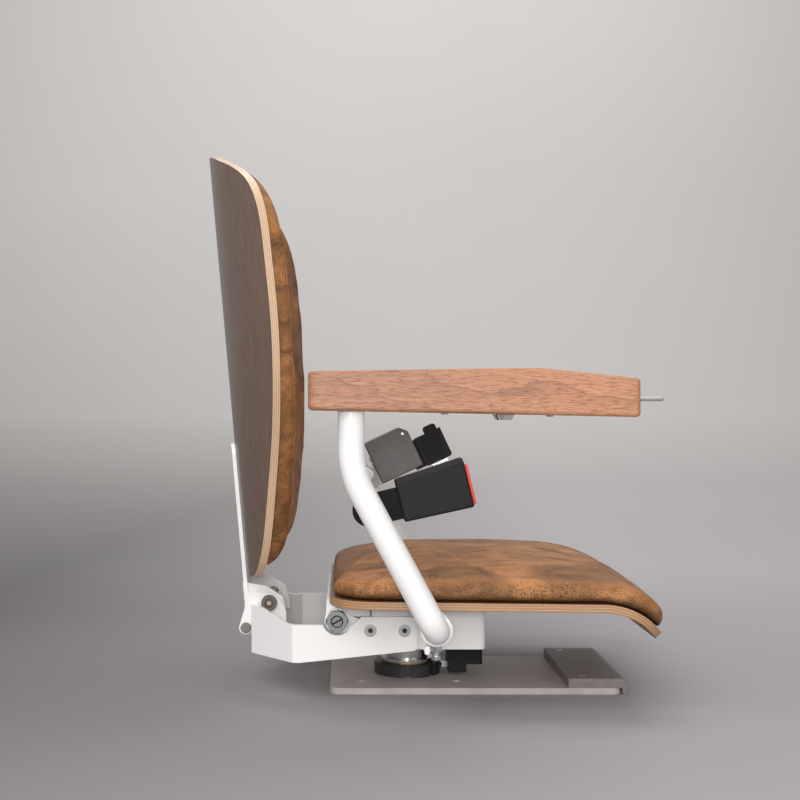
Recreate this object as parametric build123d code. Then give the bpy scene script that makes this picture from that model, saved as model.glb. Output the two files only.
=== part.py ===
from build123d import *
import math
import os

# A stairlift chair. +X is forward, +Y is the sitter's left, +Z is up. The origin lies on the
# swivel axis, at the underside of the base plate. All sizes are in millimetres.

# ------------------------------------------------------------------ clearances
RUNNING = 0.05          # radial gap of a pin or shaft in its bore
SCREW_GAP = 0.1         # radial gap of a screw in its hole
SIDE_GAP = 0.5          # gap between faces that slide past each other
SOFT_GAP = 0.3          # gap under a cushion

# ------------------------------------------------------------------ base
PLATE_THICK = 8.0
PLATE_REAR = -100.0
PLATE_FRONT = 262.0
PLATE_HALF = 100.0
PLATE_CORNER = 12.0
PLATE_BORE = 24.0       # radius of the hole that the spindle washer turns in
MOUNT_CIRCLE = 85.0     # radius of the circle of the carriage bolts
MOUNT_HOLE = 5.25
MOUNT_COUNT = 4

NOSE_REAR = 195.0
NOSE_FRONT = 270.0
NOSE_TOP = 20.0
NOSE_WALL = 2.5
NOSE_ROUND = 11.0
NOSE_SCREW_X = 215.0
NOSE_SCREW_Y = 84.0

RING_RADIUS = 43.0
RING_TOP = 24.0
NOTCH_WIDTH = 9.0
NOTCH_DEPTH = 7.5
NOTCH_ANGLES = (-90, -45, 0, 45, 90)
RING_SCREW_COUNT = 6
RING_SCREW_CIRCLE = 30.0
BUSH_RADIUS = 18.0
BUSH_FLANGE = 33.0
BUSH_FLANGE_THICK = 2.0
SPINDLE_RADIUS = 15.0

BASE_SCREW_RADIUS = 3.0
BASE_SCREW_HEAD = 4.7
BASE_SCREW_LENGTH = 19.0

# ------------------------------------------------------------------ hub
HUB_FLANGE = 35.0
HUB_FLANGE_THICK = 3.0
HUB_NECK = 27.0
WASHER_RADIUS = 22.5
WASHER_THICK = 3.0
SPINDLE_SCREW_RADIUS = 5.0
SPINDLE_SCREW_HEAD = 8.0
SPINDLE_SCREW_HEAD_HIGH = 3.2
SPINDLE_SCREW_LENGTH = 20.0
HUB_SCREW_CIRCLE = 18.0
HUB_SCREW_COUNT = 4
HUB_SCREW_RADIUS = 3.0
HUB_SCREW_HEAD = 4.7
HUB_SCREW_LENGTH = 16.0

# ------------------------------------------------------------------ box under the seat
BOX_BOTTOM = 61.0
BOX_TOP = 112.0
BOX_STEP = 99.0
BOX_REAR = -72.0
BOX_STEP_X = -49.0
BOX_FRONT = 90.0
BOX_HALF = 126.0
BOX_WALL = 4.0
BOX_ROUND = 8.0

# ------------------------------------------------------------------ rear frame
FRAME_THICK = 7.0
FRAME_REAR = -200.0
FRAME_FRONT = 6.5
FRAME_BEVEL_X = -145.0
FRAME_BEVEL_Y = 68.0
FRAME_ROUND = 6.0
FRAME_BOTTOM = 46.0
FRAME_RISE_X = -136.0
FRAME_LOW_TOP = 91.4
FRAME_REAR_TOP = 106.0
FRAME_FRONT_TOP = 101.7
FRAME_SLOPE_REAR = -188.0
FRAME_SLOPE_FRONT = -151.0
FRAME_STEP_LOW = -73.0
FRAME_STEP_HIGH = -61.0
FRAME_SCOOP = 17.5
FRAME_SCREW_XS = (-50.6, -9.1)
FRAME_SCREW_Z = 85.0
FRAME_SCREW_RADIUS = 4.0
FRAME_SCREW_HEAD = 7.5
FRAME_SCREW_LENGTH = 18.0

# ------------------------------------------------------------------ seat hinge
SEAT_PIN_X = -91.2
SEAT_PIN_Z = 96.8
SEAT_PIN_RADIUS = 6.0
SEAT_PIN_HEAD = 9.0
SEAT_PIN_HEAD_THICK = 5.5
EAR_RADIUS = 15.0
NUT_ACROSS = 25.0
NUT_THICK = 11.5
PIN_SLOT_WIDTH = 2.2
PIN_SLOT_DEPTH = 1.6
PIN_SLOT_TURN = 30.0

# ------------------------------------------------------------------ seat
SEAT_REAR = -100.0
SEAT_HALF_REAR = 200.0
SEAT_HALF_FRONT = 222.0
SEAT_CORNER_REAR = 60.0
SEAT_CORNER_LONG = 52.0     # front corners, along the lip and across
SEAT_CORNER_WIDE = 44.0
SEAT_WIDEST_X = 248.0
SEAT_BOTTOM = 120.5
SEAT_PLY = 9.6
NOSE_BEND_X = 217.0
NOSE_BEND_RADIUS = 83.0     # of the top face
NOSE_BEND_ANGLE = 45.0
NOSE_LIP = 20.0             # straight part beyond the bend

CUSHION_OVER = 0.5      # how far the fullest part of the side stands out past the shell
CUSHION_DRAW_IN = 5.5   # how far the lower edge is drawn in under the side
SEAT_CUSHION_REAR = 1.0         # inside the rear edge of the shell
SEAT_CUSHION_FRONT = 6.0        # inside the front edge
SEAT_CUSHION_COUNT = 21         # of stations
SEAT_CUSHION_CROWN = 41.0
SEAT_CUSHION_SHOULDER = 30.0
SEAT_CUSHION_NOSE_CROWN = 27.0  # where the cushion goes over the bend
SEAT_CUSHION_NOSE_SHOULDER = 24.0
SEAT_CUSHION_SLOPE = 200.0      # length over which it thins towards the nose
SEAT_CUSHION_REAR_HIGH = 13.0   # shoulder heights at the two ends
SEAT_CUSHION_FRONT_HIGH = 7.0
SEAT_CUSHION_END_CROWN = 1.3    # crown height there, as a share of the shoulder height
SEAT_CUSHION_REAR_ROUND = 110.0  # lengths over which the ends round off
SEAT_CUSHION_FRONT_ROUND = 34.0
CUSHION_SPARE = 3.0             # depth below the shell's top before the cushion is cut to it

SEAT_BRACKET_TOP_THICK = 4.0
SEAT_BRACKET_FRONT = 70.0
SEAT_BRACKET_REAR = -104.0
CHEEK_THICK = 5.5
CHEEK_FRONT = -51.0
CHEEK_BOTTOM = 100.5
CHEEK_EYE = 14.0
SEAT_SCREW_XS = (-30.0, 50.0)
SEAT_SCREW_YS = (45.0, 100.0)
SEAT_SCREW_RADIUS = 2.5
SEAT_SCREW_HEAD = 4.8
SEAT_SCREW_LENGTH = 12.0
BUFFER_RADIUS = 9.0
BUFFER_XS = (-25.0, 70.0)
BUFFER_Y = 75.0

# ------------------------------------------------------------------ backrest
TILT_X = -207.4
TILT_Z = 75.9
BACK_LEAN = 5.08        # degrees from upright at rest
TILT_RANGE = 10.0
TILT_ROD_RADIUS = 5.0
TILT_CAP_RADIUS = 6.6
TILT_CAP_THICK = 6.0
TILT_EYE_RADIUS = 9.0
BRACKET_EYE_RADIUS = 7.0
LOCK_X = -178.0
LOCK_Z = 107.5
LOCK_PIN_RADIUS = 6.0
LOCK_RING_RADIUS = 10.0
LOCK_RING_THICK = 6.0
LOCK_SOCKET = 3.4
TILT_CHEEK_INNER = 53.0
TILT_CHEEK_THICK = 5.0
SLOT_ARM_INNER = 44.0
SLOT_ARM_THICK = 5.0

SHELL_RADIUS = 350.0    # of the rear face, seen from above
SHELL_PLY = 10.7
SHELL_OFFSET = 2.6      # rear face in front of the tilt axis
SHELL_BOTTOM = 61.0
SHELL_TOP = 603.2
# height above the tilt axis along the back, and half width, up one side
SHELL_EDGE = (
    (72.0, 112.0),
    (84.0, 130.0),
    (109.0, 150.0),
    (156.0, 170.0),
    (206.0, 186.0),
    (250.0, 197.0),
    (300.0, 205.0),
    (350.0, 210.0),
    (403.0, 211.5),
    (463.0, 210.0),
    (513.0, 206.5),
    (538.6, 197.0),
    (558.6, 175.0),
    (574.6, 141.0),
    (588.8, 99.0),
)
BACK_CUSHION_OVER = 1.5     # how far the side is fuller than the front edge, and the rear edge
BACK_CUSHION_DRAW_IN = 3.0
BACK_CUSHION_SPARE = 3.0    # depth behind the shell's face before the back is cut to it
# height above the tilt axis along the back, half width at the front edge, edge thickness and
# middle thickness
BACK_CUSHION_STATIONS = (
    (77.0, 92.0, 8.0, 13.0),
    (82.0, 113.0, 14.0, 21.0),
    (92.0, 131.0, 19.5, 30.0),
    (106.0, 144.0, 23.0, 36.0),
    (130.0, 157.0, 25.0, 41.0),
    (170.0, 172.0, 26.0, 45.0),
    (220.0, 187.0, 26.0, 47.0),
    (282.0, 198.0, 26.0, 48.0),
    (345.0, 204.5, 25.5, 48.0),
    (405.0, 207.0, 25.0, 47.0),
    (460.0, 206.0, 24.5, 45.0),
    (505.0, 199.0, 23.5, 42.0),
    (532.0, 186.0, 21.5, 37.5),
    (552.0, 169.0, 18.5, 31.5),
    (566.0, 149.0, 14.0, 24.0),
    (575.0, 127.0, 8.0, 15.0),
)

BRACKET_THICK = 4.8
BRACKET_HALF = 52.0
BRACKET_TOP = 234.0
BRACKET_ROUND = 14.0
BACK_SCREW_HEIGHTS = (105.0, 210.0)
BACK_SCREW_Y = 32.0
BACK_SCREW_RADIUS = 3.0
BACK_SCREW_HEAD = 5.5
BACK_SCREW_LENGTH = 10.5

# ------------------------------------------------------------------ arms
ARM_Y = 265.0
TUBE_RADIUS = 15.0
TUBE_WALL = 2.0
ARM_PIVOT_X = 22.0
ARM_PIVOT_Z = 105.0
TUBE_TOP_X = -74.5
TUBE_BEND_Z = 283.7
TUBE_BEND_RADIUS = 112.0
ELBOW_RADIUS = 18.0
ARM_HUB_RADIUS = 18.5
ARM_HUB_LENGTH = 24.0
ARM_SHAFT_RADIUS = 10.0
ARM_SHAFT_END_GAP = 4.0
BOSS_RADIUS = 13.5
BOSS_END = 221.5

STOP_BOLT_RADIUS = 4.0
STOP_BOLT_ACROSS = 13.0
STOP_BOLT_HEAD_HIGH = 6.5
STOP_BOLT_Y = 234.0
STOP_BOLT_END = 70.0
STOP_CAP_RADIUS = 5.5
STOP_CAP_HIGH = 6.0
STOP_FINGER_THICK = 5.0
STOP_FINGER_HIGH = 9.0
STOP_PAD_THICK = 1.2

REST_REAR = -122.0
REST_FRONT = 242.0
REST_HALF = 28.0
REST_BOTTOM_REAR = 353.7
REST_BOTTOM_FRONT = 346.3
REST_TOP_REAR = 396.4
REST_TOP_MID = 400.0
REST_TOP_MID_XS = (94.0, 134.0)
REST_TOP_SLOPE_X = 162.0
REST_TOP_SLOPE_Z = 397.2
REST_TOP_FRONT = 388.6
REST_CORNER = 7.0       # seen from above
REST_END_ROUND = 5.0    # seen from the side
REST_ROUND = 4.5

ARM_PLATE_REAR = -112.0
ARM_PLATE_FRONT = -22.0
ARM_PLATE_HALF = 19.0
ARM_PLATE_THICK = 4.0
ARM_SCREW_XS = (-103.0, -46.0, -31.0)
ARM_SCREW_RADIUS = 2.5
ARM_SCREW_HEAD = 4.8
ARM_SCREW_LENGTH = 22.0

PANEL_REAR = 20.0
PANEL_FRONT = 156.0
PANEL_HALF = 19.0
PANEL_THICK = 2.5
PANEL_SCREW_XS = (29.7, 146.4)
PANEL_SCREW_RADIUS = 1.8
PANEL_SCREW_HEAD = 4.5
PANEL_SCREW_HEAD_HIGH = 1.8
PANEL_SCREW_LENGTH = 12.0
POCKET_REAR = 62.0
POCKET_FRONT = 130.0
POCKET_HALF = 15.0
POCKET_DEEP = 27.0

KEY_X = 95.0
KEY_BEZEL_RADIUS = 12.5
KEY_BEZEL_LOW_RADIUS = 9.0
KEY_BEZEL_HIGH = 6.0
KEY_BODY_RADIUS = 8.0
KEY_BODY_HIGH = 24.0
KEY_BARREL_RADIUS = 5.5
KEY_BARREL_HIGH = 18.0
KEY_SLOT_LONG = 7.0
KEY_SLOT_WIDE = 1.6
KEY_SLOT_DEEP = 5.0

STICK_Z = 366.0
STICK_RADIUS = 2.4
STICK_TIP = 272.6
STICK_BALL = 5.4
STICK_PIVOT_X = 228.0
SWITCH_RADIUS = 8.0
SWITCH_BORE = 5.5
SWITCH_REAR = 205.0
SWITCH_WALL = 5.0
WIRE_BORE = 3.0

# ------------------------------------------------------------------ buckle
BUCKLE_BOLT_X = -55.0
BUCKLE_BOLT_Z = 240.0
BUCKLE_ANGLE = 13.8
BUCKLE_BOLT_RADIUS = 5.0
BUCKLE_BOLT_HEAD = 9.0
BUCKLE_BOLT_HEAD_THICK = 4.0
STALK_DEPTH = 6.0       # stalk's outer face below the cover's
STALK_THICK = 7.0
STALK_HALF = 18.0
STALK_FRONT = 48.0
COVER_REAR = 36.5
COVER_LENGTH = 81.0
COVER_UPPER_REAR = 27.0     # above the middle line of the stalk
COVER_UPPER_FRONT = 33.5
COVER_LOWER_REAR = 22.0
COVER_LOWER_FRONT = 24.0
COVER_SLOPE_HIGH = 6.5      # sloping shoulder along the top of the outer side
COVER_SLOPE_DEEP = 10.0
COVER_OUTER_Y = 249.0
COVER_THICK = 25.0
COVER_ROUND = 3.0
COVER_WALL = 2.5
TONGUE_SLOT = 5.5
TONGUE_SLOT_HALF = 22.0
TONGUE_SLOT_DEEP = 26.0
BUTTON_POCKET = 13.0
BUTTON_POCKET_DEEP = 22.0
BUTTON_LOW = 21.0        # below and above the middle line of the stalk
BUTTON_HIGH = 25.0
BUTTON_GAP = 0.3
BUTTON_LENGTH = 17.0
BUTTON_PROUD = 3.0
BUTTON_TRAVEL = 4.0

# ------------------------------------------------------------------ belt retractor
REEL_X = -8.5
REEL_Z = 283.0
REEL_ANGLE = 25.2
REEL_LONG = 68.0        # forward
REEL_HIGH = 66.0        # along the arm tube
REEL_WIDE = 50.0
REEL_WALL = 2.5
REEL_ROUND = 5.0
REEL_SLOPE = 10.0       # cut-off upper front corner
SPOOL_RADIUS = 21.0
SPOOL_CORE = 7.0
SPOOL_FLANGE_THICK = 2.0
SPOOL_AXLE = 4.0
REEL_PLATE_THICK = 3.0
REEL_PLATE_HALF = 20.0
REEL_EAR_THICK = 4.0
REEL_EAR_HALF = 11.0
REEL_BOLT_X = -47.0
REEL_BOLT_Z = 253.0
REEL_BOLT_RADIUS = 4.0
REEL_CAP_RADIUS = 9.0
REEL_CAP_THICK = 5.0

WEB_HALF = 22.0
WEB_THICK = 1.4
WEB_DROP = 16.0         # middle of the webbing below the middle of the reel
GRIP_REAR = 38.0
GRIP_LONG = 43.0
GRIP_THICK = 14.0
GRIP_HALF = 23.0
GRIP_LOBE_REAR = 56.0
GRIP_LOBE_LONG = 20.0
GRIP_LOBE_HIGH = 10.0
GRIP_RIB_COUNT = 7
GRIP_RIB_PITCH = 4.6
GRIP_RIB_HIGH = 0.8
GRIP_RIB_WIDE = 1.6
TONGUE_THICK = 2.4
TONGUE_HALF = 12.5
TONGUE_LONG = 36.0

# ------------------------------------------------------------------ swivel latch
LATCH_REAR = 52.6
LATCH_FRONT = 96.7
LATCH_NOSE_FRONT = 76.0
LATCH_NOSE_BOTTOM = 12.0
LATCH_BODY_BOTTOM = 22.0
LATCH_SLOPE_TOP = 42.0
LATCH_HALF = 24.0
LATCH_CORNER = 4.0
LATCH_LUG_END = 42.0
PAWL_HALF = 4.0
PAWL_BOTTOM = 14.0
PAWL_TOP = 21.0
PAWL_TIP = 43.6
PAWL_REAR = 68.0
PAWL_TRAVEL = 7.0
PAWL_GAP = 0.25
LEVER_X = 71.0
LEVER_PIVOT_Y = 34.0
LEVER_Z = 48.0
LEVER_EYE = 7.5
LEVER_EYE_THICK = 10.0
LEVER_PIN = 3.0
LEVER_RADIUS = 4.5
LEVER_END = 172.0
KNOB_RADIUS = 10.5
KNOB_LENGTH = 34.0


# ------------------------------------------------------------------ helpers
def block(x, y, z):
    """A box between the two ends given for each axis."""
    size = [max(pair) - min(pair) for pair in (x, y, z)]
    middle = [sum(pair) / 2 for pair in (x, y, z)]
    return Pos(*middle) * Box(*size)


def rod(axis, radius, ends, at):
    """A cylinder along an axis, between two ends, with its centre line at the other two values."""
    low, high = min(ends), max(ends)
    body = Cylinder(radius, high - low)
    middle = (low + high) / 2
    if axis == "X":
        return Pos(middle, at[0], at[1]) * (Rot(0, 90, 0) * body)
    if axis == "Y":
        return Pos(at[0], middle, at[1]) * (Rot(90, 0, 0) * body)
    return Pos(at[0], at[1], middle) * body


def side_plate(points, y):
    """A flat plate of the given side outline (X, Z), between two Y values."""
    low, high = min(y), max(y)
    edge = Polyline(*[(px, low, pz) for px, pz in points], close=True)
    return extrude(make_face(edge), amount=high - low, dir=(0, 1, 0))


def top_plate(points, z):
    """A flat plate of the given plan outline (X, Y), between two Z values."""
    low, high = min(z), max(z)
    edge = Polyline(*[(px, py, low) for px, py in points], close=True)
    return extrude(make_face(edge), amount=high - low, dir=(0, 0, 1))


def other_side(shape):
    return mirror(shape, about=Plane.XZ)


def countersunk(radius, head, length, socket=0.55):
    """A countersunk screw that points down, with the top of its head at height 0."""
    high = head - radius
    body = Pos(0, 0, -high / 2) * Cone(radius, head, high)
    body += Pos(0, 0, -length / 2) * Cylinder(radius, length)
    hexagon = extrude(RegularPolygon(radius * socket, 6), amount=high * 0.9)
    return body - Pos(0, 0, -high * 0.9) * hexagon


def countersunk_hole(radius, head, length):
    """The space that a countersunk screw needs."""
    high = head - radius
    gap = SCREW_GAP
    body = Pos(0, 0, -high / 2) * Cone(radius + gap, head + gap, high)
    return body + Pos(0, 0, -length / 2 - gap / 2) * Cylinder(radius + gap, length + gap)


def button_screw(radius, head, head_high, length):
    """A screw that points down, with the underside of its round head at height 0."""
    body = Pos(0, 0, head_high / 2) * Cone(head, head * 0.8, head_high)
    body += Pos(0, 0, -length / 2) * Cylinder(radius, length)
    hexagon = extrude(RegularPolygon(radius * 0.6, 6), amount=head_high)
    return body - Pos(0, 0, head_high * 0.4) * hexagon


def hexagon_prism(across, high):
    """A hexagonal prism that stands on height 0."""
    return extrude(RegularPolygon(across / 2, 6, major_radius=False), amount=high)


def write(name, *shapes):
    solids = [solid for shape in shapes for solid in shape.solids()]
    export_step(Compound(children=solids), f"parts/{name}.step")


THROUGH = 400.0                      # longer than any hole is deep
UP_FROM_BELOW = Rot(180, 0, 0)       # turns a screw that points down into one that points up
OUT_RIGHT = Rot(90, 0, 0)            # head towards -Y, shank towards +Y
IN_FROM_REAR = Rot(0, -90, 0)        # head towards -X, shank towards +X


# ------------------------------------------------------------------ base
def base_screw_places():
    places = []
    for number in range(RING_SCREW_COUNT):
        angle = math.radians(360 / RING_SCREW_COUNT * (number + 0.5))
        x = RING_SCREW_CIRCLE * math.cos(angle)
        places.append(Pos(x, RING_SCREW_CIRCLE * math.sin(angle), RING_TOP))
    for side in (-1, 1):
        places.append(Pos(NOSE_SCREW_X, side * NOSE_SCREW_Y, NOSE_TOP))
    return places


def base_screw_holes():
    holes = countersunk_hole(BASE_SCREW_RADIUS, BASE_SCREW_HEAD, BASE_SCREW_LENGTH)
    return [place * holes for place in base_screw_places()]


def base_plate():
    plate = block((PLATE_REAR, PLATE_FRONT), (-PLATE_HALF, PLATE_HALF), (0, PLATE_THICK))
    plate = fillet(plate.edges().filter_by(Axis.Z), PLATE_CORNER)
    plate -= rod("Z", PLATE_BORE, (-1, PLATE_THICK + 1), (0, 0))
    for number in range(MOUNT_COUNT):
        angle = math.radians(360 / MOUNT_COUNT * (number + 0.5))
        at = (MOUNT_CIRCLE * math.cos(angle), MOUNT_CIRCLE * math.sin(angle))
        plate -= rod("Z", MOUNT_HOLE, (-1, PLATE_THICK + 1), at)
    for hole in base_screw_holes():
        plate -= hole
    return plate


def nose_cover():
    low = PLATE_THICK
    outer = block((NOSE_REAR, NOSE_FRONT), (-PLATE_HALF, PLATE_HALF), (0, NOSE_TOP))
    front_edges = outer.edges().filter_by(Axis.Y).group_by(Axis.X)[-1]
    outer = fillet(front_edges.sort_by(Axis.Z)[-1:], NOSE_ROUND)
    outer = fillet(outer.edges().filter_by(Axis.Z), NOSE_WALL)
    plate_space = (NOSE_REAR - 1, PLATE_FRONT + SOFT_GAP)
    outer -= block(plate_space, (-PLATE_HALF - 1, PLATE_HALF + 1), (-1, low))
    inside_x = (NOSE_REAR + NOSE_WALL, NOSE_FRONT - NOSE_ROUND)
    inside_half = PLATE_HALF - NOSE_WALL
    hollow = block(inside_x, (-inside_half, inside_half), (low - 1, NOSE_TOP - NOSE_WALL))
    for side in (-1, 1):
        hollow -= rod("Z", 2 * BASE_SCREW_HEAD, (0, NOSE_TOP), (NOSE_SCREW_X, side * NOSE_SCREW_Y))
    cover = outer - hollow
    for hole in base_screw_holes()[-2:]:
        cover -= hole
    return cover


def index_ring():
    ring = rod("Z", RING_RADIUS, (PLATE_THICK, RING_TOP), (0, 0))
    ring = chamfer(ring.edges().group_by(Axis.Z)[-1], 1.2)
    ring -= rod("Z", BUSH_RADIUS + SCREW_GAP, (0, RING_TOP + 1), (0, 0))
    reach = (RING_RADIUS - NOTCH_DEPTH, RING_RADIUS + 5)
    notch = block(reach, (-NOTCH_WIDTH / 2, NOTCH_WIDTH / 2), (0, RING_TOP + 1))
    for angle in NOTCH_ANGLES:
        ring -= Rot(0, 0, angle) * notch
    for hole in base_screw_holes()[:RING_SCREW_COUNT]:
        ring -= hole
    return ring


def swivel_bush():
    bush = rod("Z", BUSH_RADIUS, (PLATE_THICK, RING_TOP), (0, 0))
    bush += rod("Z", BUSH_FLANGE, (RING_TOP, RING_TOP + BUSH_FLANGE_THICK), (0, 0))
    return bush - rod("Z", SPINDLE_RADIUS + RUNNING, (0, RING_TOP + 5), (0, 0))


def base_screws():
    screw = countersunk(BASE_SCREW_RADIUS, BASE_SCREW_HEAD, BASE_SCREW_LENGTH)
    return [place * screw for place in base_screw_places()]


# ------------------------------------------------------------------ hub
HUB_BOTTOM = RING_TOP + BUSH_FLANGE_THICK + RUNNING
SPINDLE_END = PLATE_THICK - SOFT_GAP


def hub_screw_places():
    places = []
    for number in range(HUB_SCREW_COUNT):
        angle = math.radians(360 / HUB_SCREW_COUNT * (number + 0.5))
        x = HUB_SCREW_CIRCLE * math.cos(angle)
        places.append(Pos(x, HUB_SCREW_CIRCLE * math.sin(angle), BOX_BOTTOM + BOX_WALL))
    return places


def hub_screw_holes():
    hole = countersunk_hole(HUB_SCREW_RADIUS, HUB_SCREW_HEAD, HUB_SCREW_LENGTH)
    return [place * hole for place in hub_screw_places()]


def swivel_hub():
    hub = rod("Z", HUB_FLANGE, (HUB_BOTTOM, HUB_BOTTOM + HUB_FLANGE_THICK), (0, 0))
    hub = fillet(hub.edges().group_by(Axis.Z)[-1], 0.8)
    hub += rod("Z", HUB_NECK, (HUB_BOTTOM, BOX_BOTTOM), (0, 0))
    hub += rod("Z", SPINDLE_RADIUS, (SPINDLE_END, HUB_BOTTOM + 1), (0, 0))
    reach = (SPINDLE_END - 1, SPINDLE_END + SPINDLE_SCREW_LENGTH)
    hub -= rod("Z", SPINDLE_SCREW_RADIUS + SCREW_GAP, reach, (0, 0))
    for hole in hub_screw_holes():
        hub -= hole
    return hub


def spindle_screw():
    """Screw with a wide flange that keeps the spindle in the base."""
    screw = button_screw(SPINDLE_SCREW_RADIUS, SPINDLE_SCREW_HEAD,
                         SPINDLE_SCREW_HEAD_HIGH, SPINDLE_SCREW_LENGTH)
    flange_low = SPINDLE_END - WASHER_THICK
    screw = Pos(0, 0, flange_low) * UP_FROM_BELOW * screw
    return screw + rod("Z", WASHER_RADIUS, (flange_low, SPINDLE_END), (0, 0))


def hub_screws():
    screw = countersunk(HUB_SCREW_RADIUS, HUB_SCREW_HEAD, HUB_SCREW_LENGTH)
    return [place * screw for place in hub_screw_places()]


# ------------------------------------------------------------------ box and rear frame
FRAME_OUTER = BOX_HALF + FRAME_THICK


def frame_screw_places():
    """Places on the right side, where the head faces -Y."""
    return [Pos(x, -FRAME_OUTER, FRAME_SCREW_Z) * OUT_RIGHT for x in FRAME_SCREW_XS]


def frame_screw_holes():
    hole = countersunk_hole(FRAME_SCREW_RADIUS, FRAME_SCREW_HEAD, FRAME_SCREW_LENGTH)
    right = [place * hole for place in frame_screw_places()]
    return right + [other_side(shape) for shape in right]


def box_outline(grow):
    """The side outline of the box, moved in by the wall where grow is negative."""
    rear = BOX_REAR + 2 * grow if grow else BOX_REAR
    return [
        (rear, BOX_BOTTOM - grow),
        (BOX_FRONT + grow, BOX_BOTTOM - grow),
        (BOX_FRONT + grow, BOX_TOP + grow),
        (BOX_STEP_X - grow, BOX_TOP + grow),
        (BOX_STEP_X - grow, BOX_STEP + grow),
        (rear, BOX_STEP + grow),
    ]


def main_box():
    box = side_plate(box_outline(0), (-BOX_HALF, BOX_HALF))
    front = box.edges().filter_by(Axis.Z).group_by(Axis.X)[-1]
    box = fillet(front, BOX_ROUND)
    inner_half = BOX_HALF - BOX_WALL
    box -= side_plate(box_outline(-BOX_WALL), (-inner_half, inner_half))
    ear_outline = [
        (SEAT_PIN_X, SEAT_PIN_Z - EAR_RADIUS),
        (BOX_REAR + BOX_WALL, SEAT_PIN_Z - EAR_RADIUS),
        (BOX_REAR + BOX_WALL, BOX_STEP),
        (SEAT_PIN_X, SEAT_PIN_Z + EAR_RADIUS),
    ]
    ear_y = (-BOX_HALF, -inner_half)
    pin_at = (SEAT_PIN_X, SEAT_PIN_Z)
    ear = side_plate(ear_outline, ear_y) + rod("Y", EAR_RADIUS, ear_y, pin_at)
    ear -= rod("Y", SEAT_PIN_RADIUS + SCREW_GAP, (-BOX_HALF - 1, 0), pin_at)
    box += ear
    box += other_side(ear)
    for hole in frame_screw_holes() + hub_screw_holes():
        box -= hole
    return box


def rear_frame():
    outer = [
        (FRAME_FRONT, FRAME_OUTER),
        (FRAME_BEVEL_X, FRAME_OUTER),
        (FRAME_REAR, FRAME_BEVEL_Y),
        (FRAME_REAR, -FRAME_BEVEL_Y),
        (FRAME_BEVEL_X, -FRAME_OUTER),
        (FRAME_FRONT, -FRAME_OUTER),
    ]
    bevel = math.atan2(FRAME_OUTER - FRAME_BEVEL_Y, FRAME_BEVEL_X - FRAME_REAR)
    side_shift = FRAME_THICK * math.tan(bevel / 2)
    rear_shift = FRAME_THICK * math.tan((math.pi / 2 - bevel) / 2)
    front = FRAME_FRONT + 1
    inner = [
        (front, BOX_HALF),
        (FRAME_BEVEL_X + side_shift, BOX_HALF),
        (FRAME_REAR + FRAME_THICK, FRAME_BEVEL_Y - rear_shift),
        (FRAME_REAR + FRAME_THICK, rear_shift - FRAME_BEVEL_Y),
        (FRAME_BEVEL_X + side_shift, -BOX_HALF),
        (front, -BOX_HALF),
    ]
    heights = (FRAME_BOTTOM, FRAME_REAR_TOP)
    shell = top_plate(outer, heights)
    bends = shell.edges().filter_by(Axis.Z).filter_by(lambda e: e.center().X < FRAME_FRONT - 1)
    shell = fillet(bends, FRAME_ROUND)
    shell -= top_plate(inner, (FRAME_BOTTOM - 1, FRAME_REAR_TOP + 1))
    far = FRAME_REAR - 10
    side = [
        (far, FRAME_BOTTOM),
        (FRAME_RISE_X, FRAME_BOTTOM),
        (FRAME_FRONT, BOX_BOTTOM),
        (FRAME_FRONT, FRAME_FRONT_TOP),
        (FRAME_STEP_HIGH, FRAME_FRONT_TOP),
        (FRAME_STEP_LOW, FRAME_LOW_TOP),
        (FRAME_SLOPE_FRONT, FRAME_LOW_TOP),
        (FRAME_SLOPE_REAR, FRAME_REAR_TOP),
        (far, FRAME_REAR_TOP),
    ]
    reach = FRAME_OUTER + 1
    profile = side_plate(side, (-reach, reach))
    rounded = profile.edges().filter_by(Axis.Y).filter_by(lambda e: e.center().X > far + 1)
    profile = fillet(rounded.filter_by(lambda e: e.center().X > FRAME_FRONT - 1), FRAME_ROUND)
    frame = shell & profile
    for end in ((-reach, 1 - BOX_HALF), (BOX_HALF - 1, reach)):
        frame -= rod("Y", FRAME_SCOOP, end, (SEAT_PIN_X, SEAT_PIN_Z))
    for hole in frame_screw_holes():
        frame -= hole
    return frame


def rear_frame_screws():
    screw = countersunk(FRAME_SCREW_RADIUS, FRAME_SCREW_HEAD, FRAME_SCREW_LENGTH, 0.85)
    right = [place * screw for place in frame_screw_places()]
    return right + [other_side(shape) for shape in right]


# ------------------------------------------------------------------ arm bosses and stops
FINGER_FRONT = ARM_PIVOT_X - STOP_BOLT_ACROSS / 2 - SOFT_GAP - STOP_PAD_THICK
FINGER_TOP = ARM_PIVOT_Z - ARM_HUB_RADIUS - SOFT_GAP
FINGER_BOTTOM = FINGER_TOP - STOP_FINGER_HIGH
FINGER_END = STOP_BOLT_Y + STOP_BOLT_ACROSS / 2
WEB_INNER = BOSS_END - STOP_FINGER_THICK * 2.5


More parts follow.
